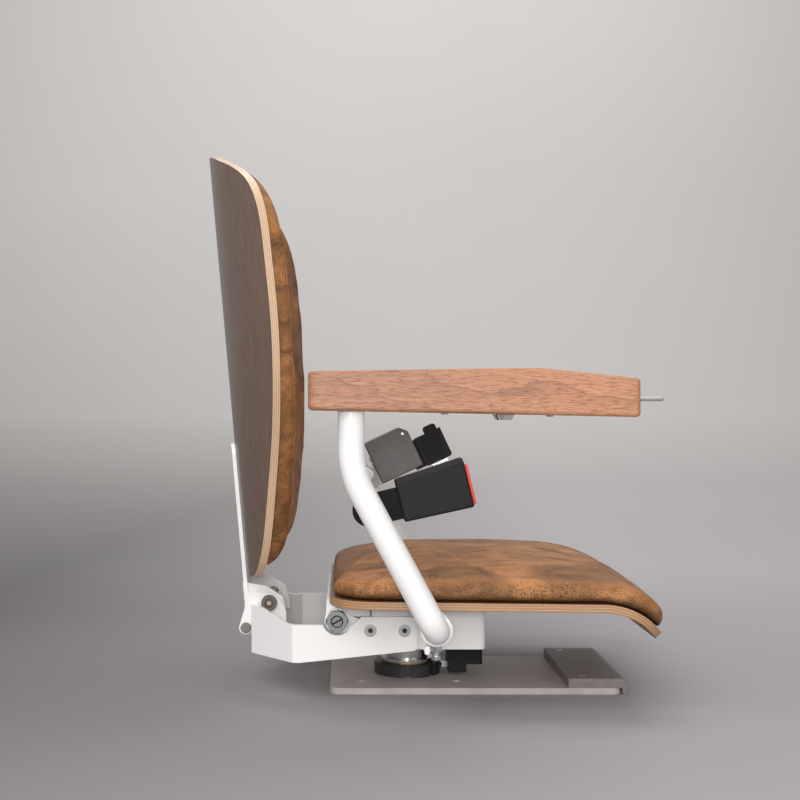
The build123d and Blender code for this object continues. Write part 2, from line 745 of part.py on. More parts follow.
def arm_boss():
    """The right-hand sleeve with its stop finger and the pad that the bolt's head meets."""
    at = (ARM_PIVOT_X, ARM_PIVOT_Z)
    boss = rod("Y", BOSS_RADIUS, (-BOX_HALF, -BOSS_END), at)
    rear = FINGER_FRONT - STOP_FINGER_THICK
    web = [
        (rear, FINGER_BOTTOM),
        (FINGER_FRONT, FINGER_BOTTOM),
        (FINGER_FRONT, FINGER_TOP),
        (ARM_PIVOT_X, ARM_PIVOT_Z - BOSS_RADIUS + 1),
        (ARM_PIVOT_X, ARM_PIVOT_Z),
        (rear, ARM_PIVOT_Z),
    ]
    boss += side_plate(web, (-WEB_INNER, -BOSS_END))
    boss += block((rear, FINGER_FRONT), (-WEB_INNER, -FINGER_END), (FINGER_BOTTOM, FINGER_TOP))
    pad = (FINGER_FRONT - 1, FINGER_FRONT + STOP_PAD_THICK)
    pad_at = (-STOP_BOLT_Y, (FINGER_BOTTOM + FINGER_TOP) / 2)
    boss += rod("X", STOP_FINGER_HIGH / 2 - 0.5, pad, pad_at)
    reach = (-BOX_HALF + 1, -BOSS_END - 1)
    return boss - rod("Y", ARM_SHAFT_RADIUS + RUNNING, reach, at)


def arm_shaft():
    end = BOSS_END + ARM_HUB_LENGTH - ARM_SHAFT_END_GAP
    shaft = rod("Y", ARM_SHAFT_RADIUS, (-BOX_HALF, -end), (ARM_PIVOT_X, ARM_PIVOT_Z))
    return chamfer(shaft.edges().filter_by(GeomType.CIRCLE), 0.8)


# ------------------------------------------------------------------ seat hinge
PIN_AT = (SEAT_PIN_X, SEAT_PIN_Z)
NUT_INNER = BOX_HALF + SOFT_GAP
PIN_END = NUT_INNER + NUT_THICK + 1.2
CHEEK_OUTER = BOX_HALF - BOX_WALL - SIDE_GAP
CHEEK_INNER = CHEEK_OUTER - CHEEK_THICK


def seat_hinge_pin():
    pin = rod("Y", SEAT_PIN_RADIUS, (-CHEEK_INNER, -PIN_END), PIN_AT)
    head_inner = CHEEK_INNER - SIDE_GAP - SEAT_PIN_HEAD_THICK
    pin += rod("Y", SEAT_PIN_HEAD, (-head_inner, SIDE_GAP - CHEEK_INNER), PIN_AT)
    pin += rod("Y", SEAT_PIN_RADIUS, (-head_inner, -CHEEK_INNER), PIN_AT)
    slot = Box(2 * SEAT_PIN_RADIUS + 1, 2 * PIN_SLOT_DEPTH, PIN_SLOT_WIDTH)
    return pin - Pos(SEAT_PIN_X, -PIN_END, SEAT_PIN_Z) * Rot(0, -PIN_SLOT_TURN, 0) * slot


def seat_hinge_nut():
    nut = hexagon_prism(NUT_ACROSS, NUT_THICK)
    round_off = Pos(0, 0, NUT_THICK / 2) * Cylinder(NUT_ACROSS / 2 + 1.2, NUT_THICK)
    round_off = chamfer(round_off.edges().group_by(Axis.Z)[-1], 1.4)
    nut = nut & round_off
    nut -= Pos(0, 0, NUT_THICK / 2) * Cylinder(SEAT_PIN_RADIUS + SCREW_GAP, NUT_THICK + 2)
    return Pos(SEAT_PIN_X, -NUT_INNER, SEAT_PIN_Z) * OUT_RIGHT * nut


def seat_buffers():
    top = SEAT_BOTTOM - SEAT_BRACKET_TOP_THICK - SOFT_GAP
    shapes = []
    for x in BUFFER_XS:
        for side in (-1, 1):
            buffer = rod("Z", BUFFER_RADIUS, (BOX_TOP, top), (x, side * BUFFER_Y))
            shapes.append(fillet(buffer.edges().group_by(Axis.Z)[-1], 1.2))
    return shapes


# ------------------------------------------------------------------ seat
NOSE_TURN = math.radians(NOSE_BEND_ANGLE)
SEAT_FLAT = NOSE_BEND_X - SEAT_REAR
SEAT_LENGTH = SEAT_FLAT + NOSE_BEND_RADIUS * NOSE_TURN + NOSE_LIP     # along the top face
NOSE_CENTRE_Z = SEAT_BOTTOM + SEAT_PLY - NOSE_BEND_RADIUS
NOSE_PLACE = Plane(
    origin=(NOSE_BEND_X, 0, NOSE_CENTRE_Z),
    x_dir=(math.cos(NOSE_TURN), 0, -math.sin(NOSE_TURN)),
    z_dir=(math.sin(NOSE_TURN), 0, math.cos(NOSE_TURN)),
)
CORNER_START = NOSE_LIP - SEAT_CORNER_LONG


def seat_profile(offset):
    """Side line of the seat shell: the top face, moved down by the offset."""
    radius = NOSE_BEND_RADIUS - offset
    places = []
    for angle in (0, NOSE_TURN / 2, NOSE_TURN):
        places.append((NOSE_BEND_X + radius * math.sin(angle),
                       NOSE_CENTRE_Z + radius * math.cos(angle)))
    end_x, end_z = places[-1]
    places.append((end_x + NOSE_LIP * math.cos(NOSE_TURN), end_z - NOSE_LIP * math.sin(NOSE_TURN)))
    return places


def seat_slab(rise=0.0):
    """The bent seat board before it is cut to its outline, with its top face moved up."""
    y = -SEAT_HALF_FRONT - 5

    def place(point):
        return (point[0], y, point[1])

    top = [place(point) for point in seat_profile(-rise)]
    low = [place(point) for point in seat_profile(SEAT_PLY)]
    top_rear = (SEAT_REAR - 5, y, top[0][2])
    low_rear = (SEAT_REAR - 5, y, low[0][2])
    edges = [
        Line(top_rear, top[0]),
        ThreePointArc(top[0], top[1], top[2]),
        Line(top[2], top[3]),
        Line(top[3], low[3]),
        Line(low[3], low[2]),
        ThreePointArc(low[2], low[1], low[0]),
        Line(low[0], low_rear),
        Line(low_rear, top_rear),
    ]
    return extrude(make_face(Wire(edges)), amount=-2 * y, dir=(0, 1, 0))


def seat_plan():
    """Plan outline of the seat shell without its front corners, as a tall prism."""
    corner_x = SEAT_REAR + SEAT_CORNER_REAR
    corner_y = SEAT_HALF_REAR - SEAT_CORNER_REAR
    diagonal = SEAT_CORNER_REAR * math.sqrt(0.5)
    corner_mid = (corner_x - diagonal, corner_y + diagonal)
    far_x = SEAT_WIDEST_X + 2 * SEAT_CORNER_LONG
    far_y = side_half(far_x)
    left = [
        ThreePointArc((SEAT_REAR, corner_y), corner_mid, (corner_x, SEAT_HALF_REAR)),
        Line((corner_x, SEAT_HALF_REAR), (far_x, far_y)),
    ]
    right = [mirror(edge, about=Plane.XZ) for edge in left]
    front = Line((far_x, far_y), (far_x, -far_y))
    rear = Line((SEAT_REAR, -corner_y), (SEAT_REAR, corner_y))
    outline = Wire([edge.edge() for edge in left + right + [front, rear]])
    return extrude(make_face(outline), amount=2 * SEAT_BOTTOM)


def seat_nose():
    """Outline of the seat shell's front corners, as a prism square to the lip."""
    half, inner = SEAT_HALF_FRONT, SEAT_HALF_FRONT - SEAT_CORNER_WIDE
    rear = -SEAT_LENGTH
    corner = EllipticalCenterArc((CORNER_START, inner), SEAT_CORNER_LONG, SEAT_CORNER_WIDE)
    left = [Line((rear, half), (CORNER_START, half)), corner]
    right = [mirror(edge, about=Plane.XZ) for edge in left]
    front = Line((NOSE_LIP, inner), (NOSE_LIP, -inner))
    back = Line((rear, -half), (rear, half))
    outline = Wire([edge.edge() for edge in left + right + [front, back]])
    return NOSE_PLACE * extrude(make_face(outline), amount=SEAT_LENGTH, both=True)


def side_half(x):
    """Half width of the seat shell where its sides are straight."""
    start = SEAT_REAR + SEAT_CORNER_REAR
    share = (x - start) / (SEAT_WIDEST_X - start)
    return SEAT_HALF_REAR + share * (SEAT_HALF_FRONT - SEAT_HALF_REAR)


def seat_half(distance):
    """Half width of the seat shell at a distance along its top face."""
    if distance < SEAT_CORNER_REAR:
        short = SEAT_CORNER_REAR - distance
        inner = SEAT_HALF_REAR - SEAT_CORNER_REAR
        return inner + math.sqrt(SEAT_CORNER_REAR ** 2 - short ** 2)
    bend = distance - SEAT_FLAT
    if bend <= 0:
        return side_half(SEAT_REAR + distance)
    angle = min(bend / NOSE_BEND_RADIUS, NOSE_TURN)
    beyond = bend - angle * NOSE_BEND_RADIUS
    along = NOSE_BEND_RADIUS * math.sin(angle - NOSE_TURN) + beyond
    if along <= CORNER_START:
        return side_half(NOSE_BEND_X + NOSE_BEND_RADIUS * math.sin(angle))
    share = min((along - CORNER_START) / SEAT_CORNER_LONG, 1.0)
    return SEAT_HALF_FRONT - SEAT_CORNER_WIDE * (1 - math.sqrt(1 - share ** 2))


def seat_screw_places():
    z = SEAT_BOTTOM - SEAT_BRACKET_TOP_THICK
    spots = [(x, side * y) for x in SEAT_SCREW_XS for y in SEAT_SCREW_YS for side in (-1, 1)]
    return [Pos(x, y, z) * UP_FROM_BELOW for x, y in spots]


def seat_screw_holes():
    hole = countersunk_hole(SEAT_SCREW_RADIUS, SEAT_SCREW_HEAD, SEAT_SCREW_LENGTH)
    return [place * hole for place in seat_screw_places()]


def seat_shell():
    shell = seat_slab() & seat_plan() & seat_nose()
    for hole in seat_screw_holes():
        shell -= hole
    return shell


def seat_station(distance):
    """Plane square to the top of the seat shell, at a distance from its rear edge."""
    bend = distance - SEAT_FLAT
    if bend <= 0:
        angle, x, z = 0.0, SEAT_REAR + distance, SEAT_BOTTOM + SEAT_PLY
    else:
        angle = min(bend / NOSE_BEND_RADIUS, NOSE_TURN)
        beyond = bend - angle * NOSE_BEND_RADIUS
        x = NOSE_BEND_X + NOSE_BEND_RADIUS * math.sin(angle) + beyond * math.cos(angle)
        z = NOSE_CENTRE_Z + NOSE_BEND_RADIUS * math.cos(angle) - beyond * math.sin(angle)
    along = (math.cos(angle), 0, -math.sin(angle))
    return Plane(origin=(x, 0, z), x_dir=(0, 1, 0), z_dir=along)


def quarter_round(share):
    """A rise from 0 to 1 along a quarter ellipse."""
    short = 1 - min(max(share, 0.0), 1.0)
    return math.sqrt(1 - short ** 2)


def gentle_rise(share):
    """A rise from 0 to 1 that starts and ends level."""
    share = min(max(share, 0.0), 1.0)
    return share ** 2 * (3 - 2 * share)


def seat_cushion_section(share):
    """Distance along the shell, half width, crown and shoulder height of one station."""
    long = SEAT_LENGTH - SEAT_CUSHION_REAR - SEAT_CUSHION_FRONT
    from_rear = share * long
    from_front = long - from_rear
    half = seat_half(share * SEAT_LENGTH) + CUSHION_OVER
    rise = gentle_rise(from_front / SEAT_CUSHION_SLOPE)
    crown = SEAT_CUSHION_NOSE_CROWN + rise * (SEAT_CUSHION_CROWN - SEAT_CUSHION_NOSE_CROWN)
    nose_shoulder = SEAT_CUSHION_NOSE_SHOULDER
    shoulder = nose_shoulder + rise * (SEAT_CUSHION_SHOULDER - nose_shoulder)
    if from_rear < from_front:
        end_high, full = SEAT_CUSHION_REAR_HIGH, from_rear / SEAT_CUSHION_REAR_ROUND
    else:
        end_high, full = SEAT_CUSHION_FRONT_HIGH, from_front / SEAT_CUSHION_FRONT_ROUND
    full = quarter_round(full)
    end_crown = end_high * SEAT_CUSHION_END_CROWN
    crown = end_crown + full * (crown - end_crown)
    shoulder = end_high + full * (shoulder - end_high)
    return SEAT_CUSHION_REAR + from_rear, half, crown, shoulder


def seat_cushion():
    """Crowned, with its lower edge drawn in, lofted along the shell."""
    sections = []
    for number in range(SEAT_CUSHION_COUNT):
        turn = math.pi * number / (SEAT_CUSHION_COUNT - 1)
        distance, half, crown, shoulder = seat_cushion_section((1 - math.cos(turn)) / 2)
        foot = half - CUSHION_DRAW_IN
        round_in = 0.6 * shoulder
        low, high = -CUSHION_SPARE, shoulder
        bulge = (half, 0.45 * shoulder)
        edge = [
            Line((-foot, low), (foot, low)),
            ThreePointArc((foot, low), bulge, (half - round_in, high)),
            ThreePointArc((half - round_in, high), (0, crown), (round_in - half, high)),
            ThreePointArc((round_in - half, high), (-bulge[0], bulge[1]), (-foot, low)),
        ]
        face = make_face(Wire([part.edge() for part in edge]))
        sections.append(seat_station(distance) * face)
    return loft(sections) - seat_slab(SOFT_GAP)


def seat_bracket():
    top = (SEAT_BOTTOM - SEAT_BRACKET_TOP_THICK, SEAT_BOTTOM)
    reach = (SEAT_BRACKET_REAR, SEAT_BRACKET_FRONT)
    bracket = block(reach, (-CHEEK_OUTER, CHEEK_OUTER), top)
    front_corners = bracket.edges().filter_by(Axis.Z).group_by(Axis.X)[-1]
    bracket = fillet(front_corners, 12)
    y = (-CHEEK_OUTER, -CHEEK_INNER)
    outline = [
        (SEAT_PIN_X - CHEEK_EYE, SEAT_PIN_Z),
        (SEAT_PIN_X - CHEEK_EYE + 1.2, top[0] + 1),
        (CHEEK_FRONT, top[0] + 1),
        (CHEEK_FRONT, CHEEK_BOTTOM),
        (SEAT_PIN_X + CHEEK_EYE, CHEEK_BOTTOM),
    ]
    cheek = side_plate(outline, y) + rod("Y", CHEEK_EYE, y, PIN_AT)
    cheek -= rod("Y", SEAT_PIN_RADIUS + RUNNING, (-BOX_HALF, 0), PIN_AT)
    bracket += cheek
    bracket += other_side(cheek)
    for hole in seat_screw_holes():
        bracket -= hole
    return bracket


def seat_screws():
    screw = countersunk(SEAT_SCREW_RADIUS, SEAT_SCREW_HEAD, SEAT_SCREW_LENGTH)
    return [place * screw for place in seat_screw_places()]


# ------------------------------------------------------------------ backrest
TILT_AT = (TILT_X, TILT_Z)
LOCK_AT = (LOCK_X, LOCK_Z)
BACK_PLACE = Pos(TILT_X, 0, TILT_Z) * Rot(0, -BACK_LEAN, 0)
SHELL_CENTRE = SHELL_OFFSET + SHELL_RADIUS
TILT_CHEEK_OUTER = TILT_CHEEK_INNER + TILT_CHEEK_THICK


def tilt_cheek():
    """The right-hand cheek, hooked over the rear wall of the frame."""
    y = (-TILT_CHEEK_INNER, -TILT_CHEEK_OUTER)
    wall_front = FRAME_REAR + FRAME_THICK
    outline = [
        (TILT_X - TILT_EYE_RADIUS, TILT_Z),
        (TILT_X - 2, TILT_Z + 24),
        (TILT_X - 1, TILT_Z + 41),
        (TILT_X + 3.5, TILT_Z + 44.5),
        (LOCK_X + 2, LOCK_Z + 12.9),
        (LOCK_X + 13.6, LOCK_Z + 4),
        (LOCK_X + 21.3, LOCK_Z - 10),
        (LOCK_X + 22, LOCK_Z - 25),
        (wall_front, LOCK_Z - 25),
        (wall_front, FRAME_REAR_TOP),
        (FRAME_REAR, FRAME_REAR_TOP),
        (FRAME_REAR, TILT_Z),
    ]
    cheek = side_plate(outline, y)
    eye = rod("Y", TILT_EYE_RADIUS, y, TILT_AT)
    eye -= block((FRAME_REAR, FRAME_REAR + 20), y, (TILT_Z - 20, TILT_Z + 20))
    cheek += eye
    cheek -= rod("Y", TILT_ROD_RADIUS + SCREW_GAP, (0, -THROUGH), TILT_AT)
    return cheek - rod("Y", LOCK_PIN_RADIUS + SCREW_GAP, (0, -THROUGH), LOCK_AT)


def tilt_rod():
    end = TILT_CHEEK_OUTER + 2
    return rod("Y", TILT_ROD_RADIUS, (-end, end), TILT_AT)


def tilt_cap():
    inner = TILT_CHEEK_OUTER
    cap = rod("Y", TILT_CAP_RADIUS, (-inner, -inner - TILT_CAP_THICK), TILT_AT)
    cap = fillet(cap.edges().filter_by(GeomType.CIRCLE).sort_by(Axis.Y)[:1], 1.2)
    return cap - rod("Y", TILT_ROD_RADIUS + SCREW_GAP, (0, -inner - 2), TILT_AT)


def lock_pin():
    end = TILT_CHEEK_OUTER + LOCK_RING_THICK
    pin = rod("Y", LOCK_PIN_RADIUS, (-end, end), LOCK_AT)
    socket = extrude(RegularPolygon(LOCK_SOCKET, 6), amount=4, both=True)
    for side in (-1, 1):
        pin -= Pos(LOCK_X, side * end, LOCK_Z) * OUT_RIGHT * socket
    return pin


def lock_ring():
    ends = (-TILT_CHEEK_OUTER, -TILT_CHEEK_OUTER - LOCK_RING_THICK)
    ring = rod("Y", LOCK_RING_RADIUS, ends, LOCK_AT)
    ring = fillet(ring.edges().filter_by(GeomType.CIRCLE).sort_by(Axis.Y)[:1], 1.0)
    return ring - rod("Y", LOCK_PIN_RADIUS + SCREW_GAP, (0, -THROUGH), LOCK_AT)


def shell_wall(inner, outer, low, high):
    """A ring about the axis that the shell is bent round, in the back's own frame."""
    height = high - low
    wall = Cylinder(outer, height) - Cylinder(inner, height + 2)
    return Pos(SHELL_CENTRE, 0, (low + high) / 2) * wall


def back_screw_places():
    spots = [(side * BACK_SCREW_Y, z) for side in (-1, 1) for z in BACK_SCREW_HEIGHTS]
    rear = SHELL_OFFSET - SIDE_GAP / 2 - BRACKET_THICK
    head_outer = BACK_SCREW_Y + BACK_SCREW_HEAD
    bow = SHELL_RADIUS - math.sqrt(SHELL_RADIUS ** 2 - head_outer ** 2)
    return [Pos(rear + bow, y, z) * IN_FROM_REAR for y, z in spots]


def back_screw_holes():
    hole = countersunk_hole(BACK_SCREW_RADIUS, BACK_SCREW_HEAD, BACK_SCREW_LENGTH)
    hole += Pos(0, 0, BRACKET_THICK / 2) * Cylinder(BACK_SCREW_HEAD + SCREW_GAP, BRACKET_THICK)
    return [place * hole for place in back_screw_places()]


def shell_outline(distance):
    """Outline of the back shell on a plane at a distance from the axis it is bent round."""
    x = SHELL_CENTRE - distance
    up = [(x, distance * math.tan(math.asin(half / SHELL_RADIUS)), z) for z, half in SHELL_EDGE]
    down = [(x, -y, z) for x, y, z in reversed(up)]
    edges = [
        Spline(*up),
        ThreePointArc(up[-1], (x, 0, SHELL_TOP), down[0]),
        Spline(*down),
        ThreePointArc(down[-1], (x, 0, SHELL_BOTTOM), up[0]),
    ]
    return make_face(Wire([edge.edge() for edge in edges]))


def back_shell():
    """Bent sheet with its edge cut square to its faces."""
    blank = loft([shell_outline(0.7 * SHELL_RADIUS), shell_outline(1.1 * SHELL_RADIUS)], ruled=True)
    wall = shell_wall(SHELL_RADIUS - SHELL_PLY, SHELL_RADIUS, SHELL_BOTTOM - 5, SHELL_TOP + 5)
    shell = blank & wall
    for hole in back_screw_holes():
        shell -= hole
    return BACK_PLACE * shell


def back_cushion():
    """Crowned, with full sides that follow the shell's edge, lofted up the back."""
    rear_radius = SHELL_RADIUS - SHELL_PLY - SOFT_GAP

    def on_shell(half, forward):
        """The point that stands a distance in front of the shell's face, square to it."""
        angle = math.asin(half / SHELL_RADIUS)
        radius = rear_radius - forward
        return (SHELL_CENTRE - radius * math.cos(angle), radius * math.sin(angle))

    sections = []
    for height, half, edge_thick, middle_thick in BACK_CUSHION_STATIONS:
        foot = half - BACK_CUSHION_DRAW_IN
        rear_right = on_shell(-foot, -BACK_CUSHION_SPARE)
        rear_left = on_shell(foot, -BACK_CUSHION_SPARE)
        bulge_left = on_shell(half + BACK_CUSHION_OVER, 0.5 * edge_thick)
        front_left = on_shell(half, edge_thick)
        mirrored = [(x, -y) for x, y in (front_left, bulge_left)]
        middle = (SHELL_CENTRE - rear_radius + middle_thick, 0)
        edge = [
            ThreePointArc(rear_right, on_shell(0, -2 * BACK_CUSHION_SPARE), rear_left),
            ThreePointArc(rear_left, bulge_left, front_left),
            ThreePointArc(front_left, middle, mirrored[0]),
            ThreePointArc(mirrored[0], mirrored[1], rear_right),
        ]
        face = make_face(Wire([part.edge() for part in edge]))
        sections.append(Pos(0, 0, height) * face)
    low = BACK_CUSHION_STATIONS[0][0] - 5
    high = BACK_CUSHION_STATIONS[-1][0] + 5
    clear = Pos(SHELL_CENTRE, 0, (low + high) / 2) * Cylinder(rear_radius, high - low)
    return BACK_PLACE * (loft(sections) & clear)


def slot_arm():
    """The right-hand arm that rides on the lock pin, in the back's own frame."""
    lean = math.radians(BACK_LEAN)
    dx, dz = LOCK_X - TILT_X, LOCK_Z - TILT_Z
    pin_x = dx * math.cos(lean) + dz * math.sin(lean)
    pin_z = dz * math.cos(lean) - dx * math.sin(lean)
    radius = math.hypot(pin_x, pin_z)
    start = math.atan2(pin_z, pin_x)
    y = (-SLOT_ARM_INNER, -SLOT_ARM_INNER - SLOT_ARM_THICK)
    outline = [
        (0, 33),
        (0, 57),
        (pin_x - 4, pin_z + 21),
        (pin_x + 17, pin_z + 5),
        (pin_x + 20, pin_z - 9),
        (pin_x + 14, pin_z - 17),
        (pin_x + 1, pin_z - 17),
        (pin_x - 7, pin_z + 2),
    ]
    arm = side_plate(outline, y)
    width = LOCK_PIN_RADIUS + SCREW_GAP
    steps = 10
    for number in range(steps + 1):
        angle = start - math.radians(TILT_RANGE) * number / steps
        arm -= rod("Y", width, (0, -THROUGH), (radius * math.cos(angle), radius * math.sin(angle)))
    return arm


def back_bracket():
    gap = SIDE_GAP / 2
    inner = SHELL_RADIUS + gap
    wall = shell_wall(inner, inner + BRACKET_THICK, 0, BRACKET_TOP)
    blank = block((-10, 20), (-BRACKET_HALF, BRACKET_HALF), (0, BRACKET_TOP))
    blank = fillet(blank.edges().filter_by(Axis.X).group_by(Axis.Z)[-1], BRACKET_ROUND)
    half = TILT_CHEEK_INNER - SOFT_GAP
    bracket = wall & blank
    bracket += rod("Y", BRACKET_EYE_RADIUS, (-half, half), (0, 0))
    bracket -= rod("Y", TILT_ROD_RADIUS + RUNNING, (-half - 1, half + 1), (0, 0))
    arm = slot_arm()
    bracket += arm
    bracket += other_side(arm)
    for hole in back_screw_holes():
        bracket -= hole
    return BACK_PLACE * bracket


def back_screws():
    screw = countersunk(BACK_SCREW_RADIUS, BACK_SCREW_HEAD, BACK_SCREW_LENGTH)
    return [BACK_PLACE * place * screw for place in back_screw_places()]


# ------------------------------------------------------------------ arms, made on the right
def under_rest(x):
    """Height of the armrest's underside."""
    share = (x - REST_REAR) / (REST_FRONT - REST_REAR)
    return REST_BOTTOM_REAR + share * (REST_BOTTOM_FRONT - REST_BOTTOM_REAR)


def under_slab(x_ends, half, low, high):
    """A slab that follows the underside of the armrest, between two heights above it."""
    a, b = x_ends
    outline = [
        (a, under_rest(a) + low),
        (b, under_rest(b) + low),
        (b, under_rest(b) + high),
        (a, under_rest(a) + high),
    ]
    return side_plate(outline, (-ARM_Y - half, half - ARM_Y))


def tube_path(radius, side_end):
    """The centre line of the arm tube, swept with a circle."""
    top = under_rest(TUBE_TOP_X + TUBE_RADIUS)
    path = FilletPolyline(
        (TUBE_TOP_X, -ARM_Y, top),
        (TUBE_TOP_X, -ARM_Y, TUBE_BEND_Z),
        (ARM_PIVOT_X, -ARM_Y, ARM_PIVOT_Z),
        (ARM_PIVOT_X, side_end, ARM_PIVOT_Z),
        radius=[TUBE_BEND_RADIUS, ELBOW_RADIUS],
    )
    start = Plane(origin=(TUBE_TOP_X, -ARM_Y, top), z_dir=(0, 0, -1))
    return sweep(start * Circle(radius), path=path)


HUB_INNER = BOSS_END + SIDE_GAP
HUB_OUTER = HUB_INNER + ARM_HUB_LENGTH


def arm_tube():
    at = (ARM_PIVOT_X, ARM_PIVOT_Z)
    tube = tube_path(TUBE_RADIUS, -HUB_OUTER + 1) - tube_path(TUBE_RADIUS - TUBE_WALL, -HUB_OUTER)
    hub = rod("Y", ARM_HUB_RADIUS, (-HUB_INNER, -HUB_OUTER), at)
    hub = fillet(hub.edges().filter_by(GeomType.CIRCLE), 1.5)
    tube += hub
    shaft_end = BOSS_END + ARM_HUB_LENGTH - ARM_SHAFT_END_GAP + 1
    tube -= rod("Y", ARM_SHAFT_RADIUS + RUNNING, (-HUB_INNER + 1, -shaft_end), at)
    thread_top = ARM_PIVOT_Z - ARM_SHAFT_RADIUS - 2
    ends = (thread_top, ARM_PIVOT_Z - ARM_HUB_RADIUS - 1)
    return tube - rod("Z", STOP_BOLT_RADIUS + SCREW_GAP, ends, (ARM_PIVOT_X, -STOP_BOLT_Y))


def arm_stop_bolt():
    """Hex bolt under the arm's hub, with a round plastic-coated end."""
    at = (ARM_PIVOT_X, -STOP_BOLT_Y)
    hub_low = ARM_PIVOT_Z - ARM_HUB_RADIUS
    bolt = rod("Z", STOP_BOLT_RADIUS, (STOP_BOLT_END, ARM_PIVOT_Z - ARM_SHAFT_RADIUS - 2.5), at)
    head = hexagon_prism(STOP_BOLT_ACROSS, STOP_BOLT_HEAD_HIGH)
    bolt += Pos(*at, hub_low - STOP_BOLT_HEAD_HIGH) * Rot(0, 0, 30) * head
    cap = rod("Z", STOP_CAP_RADIUS, (STOP_BOLT_END, STOP_BOLT_END + STOP_CAP_HIGH), at)
    return bolt + fillet(cap.edges().filter_by(GeomType.CIRCLE), 1.0)


def arm_screw_places():
    return [Pos(x, -ARM_Y, under_rest(x)) * UP_FROM_BELOW for x in ARM_SCREW_XS]


def arm_screw_holes():
    hole = countersunk_hole(ARM_SCREW_RADIUS, ARM_SCREW_HEAD, ARM_SCREW_LENGTH)
    return [place * hole for place in arm_screw_places()]


def arm_plate():
    plate = under_slab((ARM_PLATE_REAR, ARM_PLATE_FRONT), ARM_PLATE_HALF, 0, ARM_PLATE_THICK)
    for hole in arm_screw_holes():
        plate -= hole
    return plate


def arm_screws():
    screw = countersunk(ARM_SCREW_RADIUS, ARM_SCREW_HEAD, ARM_SCREW_LENGTH)
    return [place * screw for place in arm_screw_places()]


def armrest_blank():
    """The wooden armrest with its recess for the arm plate."""
    outline = [
        (REST_REAR, REST_BOTTOM_REAR),
        (REST_FRONT, REST_BOTTOM_FRONT),
        (REST_FRONT, REST_TOP_FRONT),
        (REST_TOP_SLOPE_X, REST_TOP_SLOPE_Z),
        (REST_TOP_MID_XS[1], REST_TOP_MID),
        (REST_TOP_MID_XS[0], REST_TOP_MID),
        (REST_REAR, REST_TOP_REAR),
    ]
    blank = side_plate(outline, (-ARM_Y - REST_HALF, REST_HALF - ARM_Y))
    rest = fillet(blank.edges().filter_by(Axis.Z), REST_CORNER)
    rim = rest.faces().filter_by(Axis.Y)
    rest = fillet([edge for face in rim for edge in face.edges()], REST_ROUND)
    across = blank.edges().filter_by(Axis.Y).group_by(Axis.X)
    rest = rest & fillet(across[0] + across[-1], REST_END_ROUND)
    reach = (ARM_PLATE_REAR - SOFT_GAP, ARM_PLATE_FRONT + SOFT_GAP)
    rest -= under_slab(reach, ARM_PLATE_HALF + SOFT_GAP, -1, ARM_PLATE_THICK)
    for hole in arm_screw_holes():
        rest -= hole
    return rest


def panel_screw_places():
    heights = [under_rest(x + PANEL_SCREW_HEAD) for x in PANEL_SCREW_XS]
    return [Pos(x, -ARM_Y, z) * UP_FROM_BELOW for x, z in zip(PANEL_SCREW_XS, heights)]


def panel_screw_holes():
    depth = PANEL_SCREW_LENGTH + SCREW_GAP
    hole = Pos(0, 0, -depth / 2 + 1) * Cylinder(PANEL_SCREW_RADIUS + SCREW_GAP, depth + 2)
    return [place * hole for place in panel_screw_places()]


def armrest_right():
    rest = armrest_blank()
    reach = (PANEL_REAR - SOFT_GAP, PANEL_FRONT + SOFT_GAP)
    rest -= under_slab(reach, PANEL_HALF + SOFT_GAP, -1, PANEL_THICK)
    rest -= under_slab((POCKET_REAR, POCKET_FRONT), POCKET_HALF, 0, POCKET_DEEP)
    bore_reach = (SWITCH_REAR, REST_FRONT + 5)
    rest -= rod("X", SWITCH_RADIUS + SCREW_GAP, bore_reach, (-ARM_Y, STICK_Z))
    rest -= rod("X", WIRE_BORE, (POCKET_FRONT - 1, SWITCH_REAR + 1), (-ARM_Y, STICK_Z))
    for hole in panel_screw_holes():
        rest -= hole
    return rest


def armrest_panel():
    panel = under_slab((PANEL_REAR, PANEL_FRONT), PANEL_HALF, 0, PANEL_THICK)
    panel -= rod("Z", KEY_BODY_RADIUS + SCREW_GAP, (REST_BOTTOM_FRONT - 5, REST_TOP_MID),
                 (KEY_X, -ARM_Y))
    for hole in panel_screw_holes():
        panel -= hole
    return panel


def panel_screws():
    screw = button_screw(PANEL_SCREW_RADIUS, PANEL_SCREW_HEAD, PANEL_SCREW_HEAD_HIGH,
                         PANEL_SCREW_LENGTH)
    return [place * screw for place in panel_screw_places()]


KEY_AT = (KEY_X, -ARM_Y)
KEY_SEAT = under_rest(KEY_X + KEY_BEZEL_RADIUS) - SCREW_GAP
KEY_FACE = KEY_SEAT - KEY_BEZEL_HIGH


def key_switch_body():
    bezel = Pos(*KEY_AT, KEY_SEAT - KEY_BEZEL_HIGH / 2) * Cone(
        KEY_BEZEL_LOW_RADIUS, KEY_BEZEL_RADIUS, KEY_BEZEL_HIGH)
    body = bezel + rod("Z", KEY_BODY_RADIUS, (KEY_FACE, KEY_SEAT + KEY_BODY_HIGH), KEY_AT)
    body = bezel + (body & rod("Z", KEY_BODY_RADIUS, (KEY_SEAT, KEY_SEAT + KEY_BODY_HIGH), KEY_AT))
    bore = (KEY_FACE - 1, KEY_FACE + KEY_BARREL_HIGH + SOFT_GAP)
    return body - rod("Z", KEY_BARREL_RADIUS + RUNNING, bore, KEY_AT)


def key_switch_barrel():
    barrel = rod("Z", KEY_BARREL_RADIUS, (KEY_FACE, KEY_FACE + KEY_BARREL_HIGH), KEY_AT)
    half_long, half_wide = KEY_SLOT_LONG / 2, KEY_SLOT_WIDE / 2
    slot = block((-half_long, half_long), (-half_wide, half_wide), (-1, KEY_SLOT_DEEP))
    return barrel - Pos(*KEY_AT, KEY_FACE) * slot


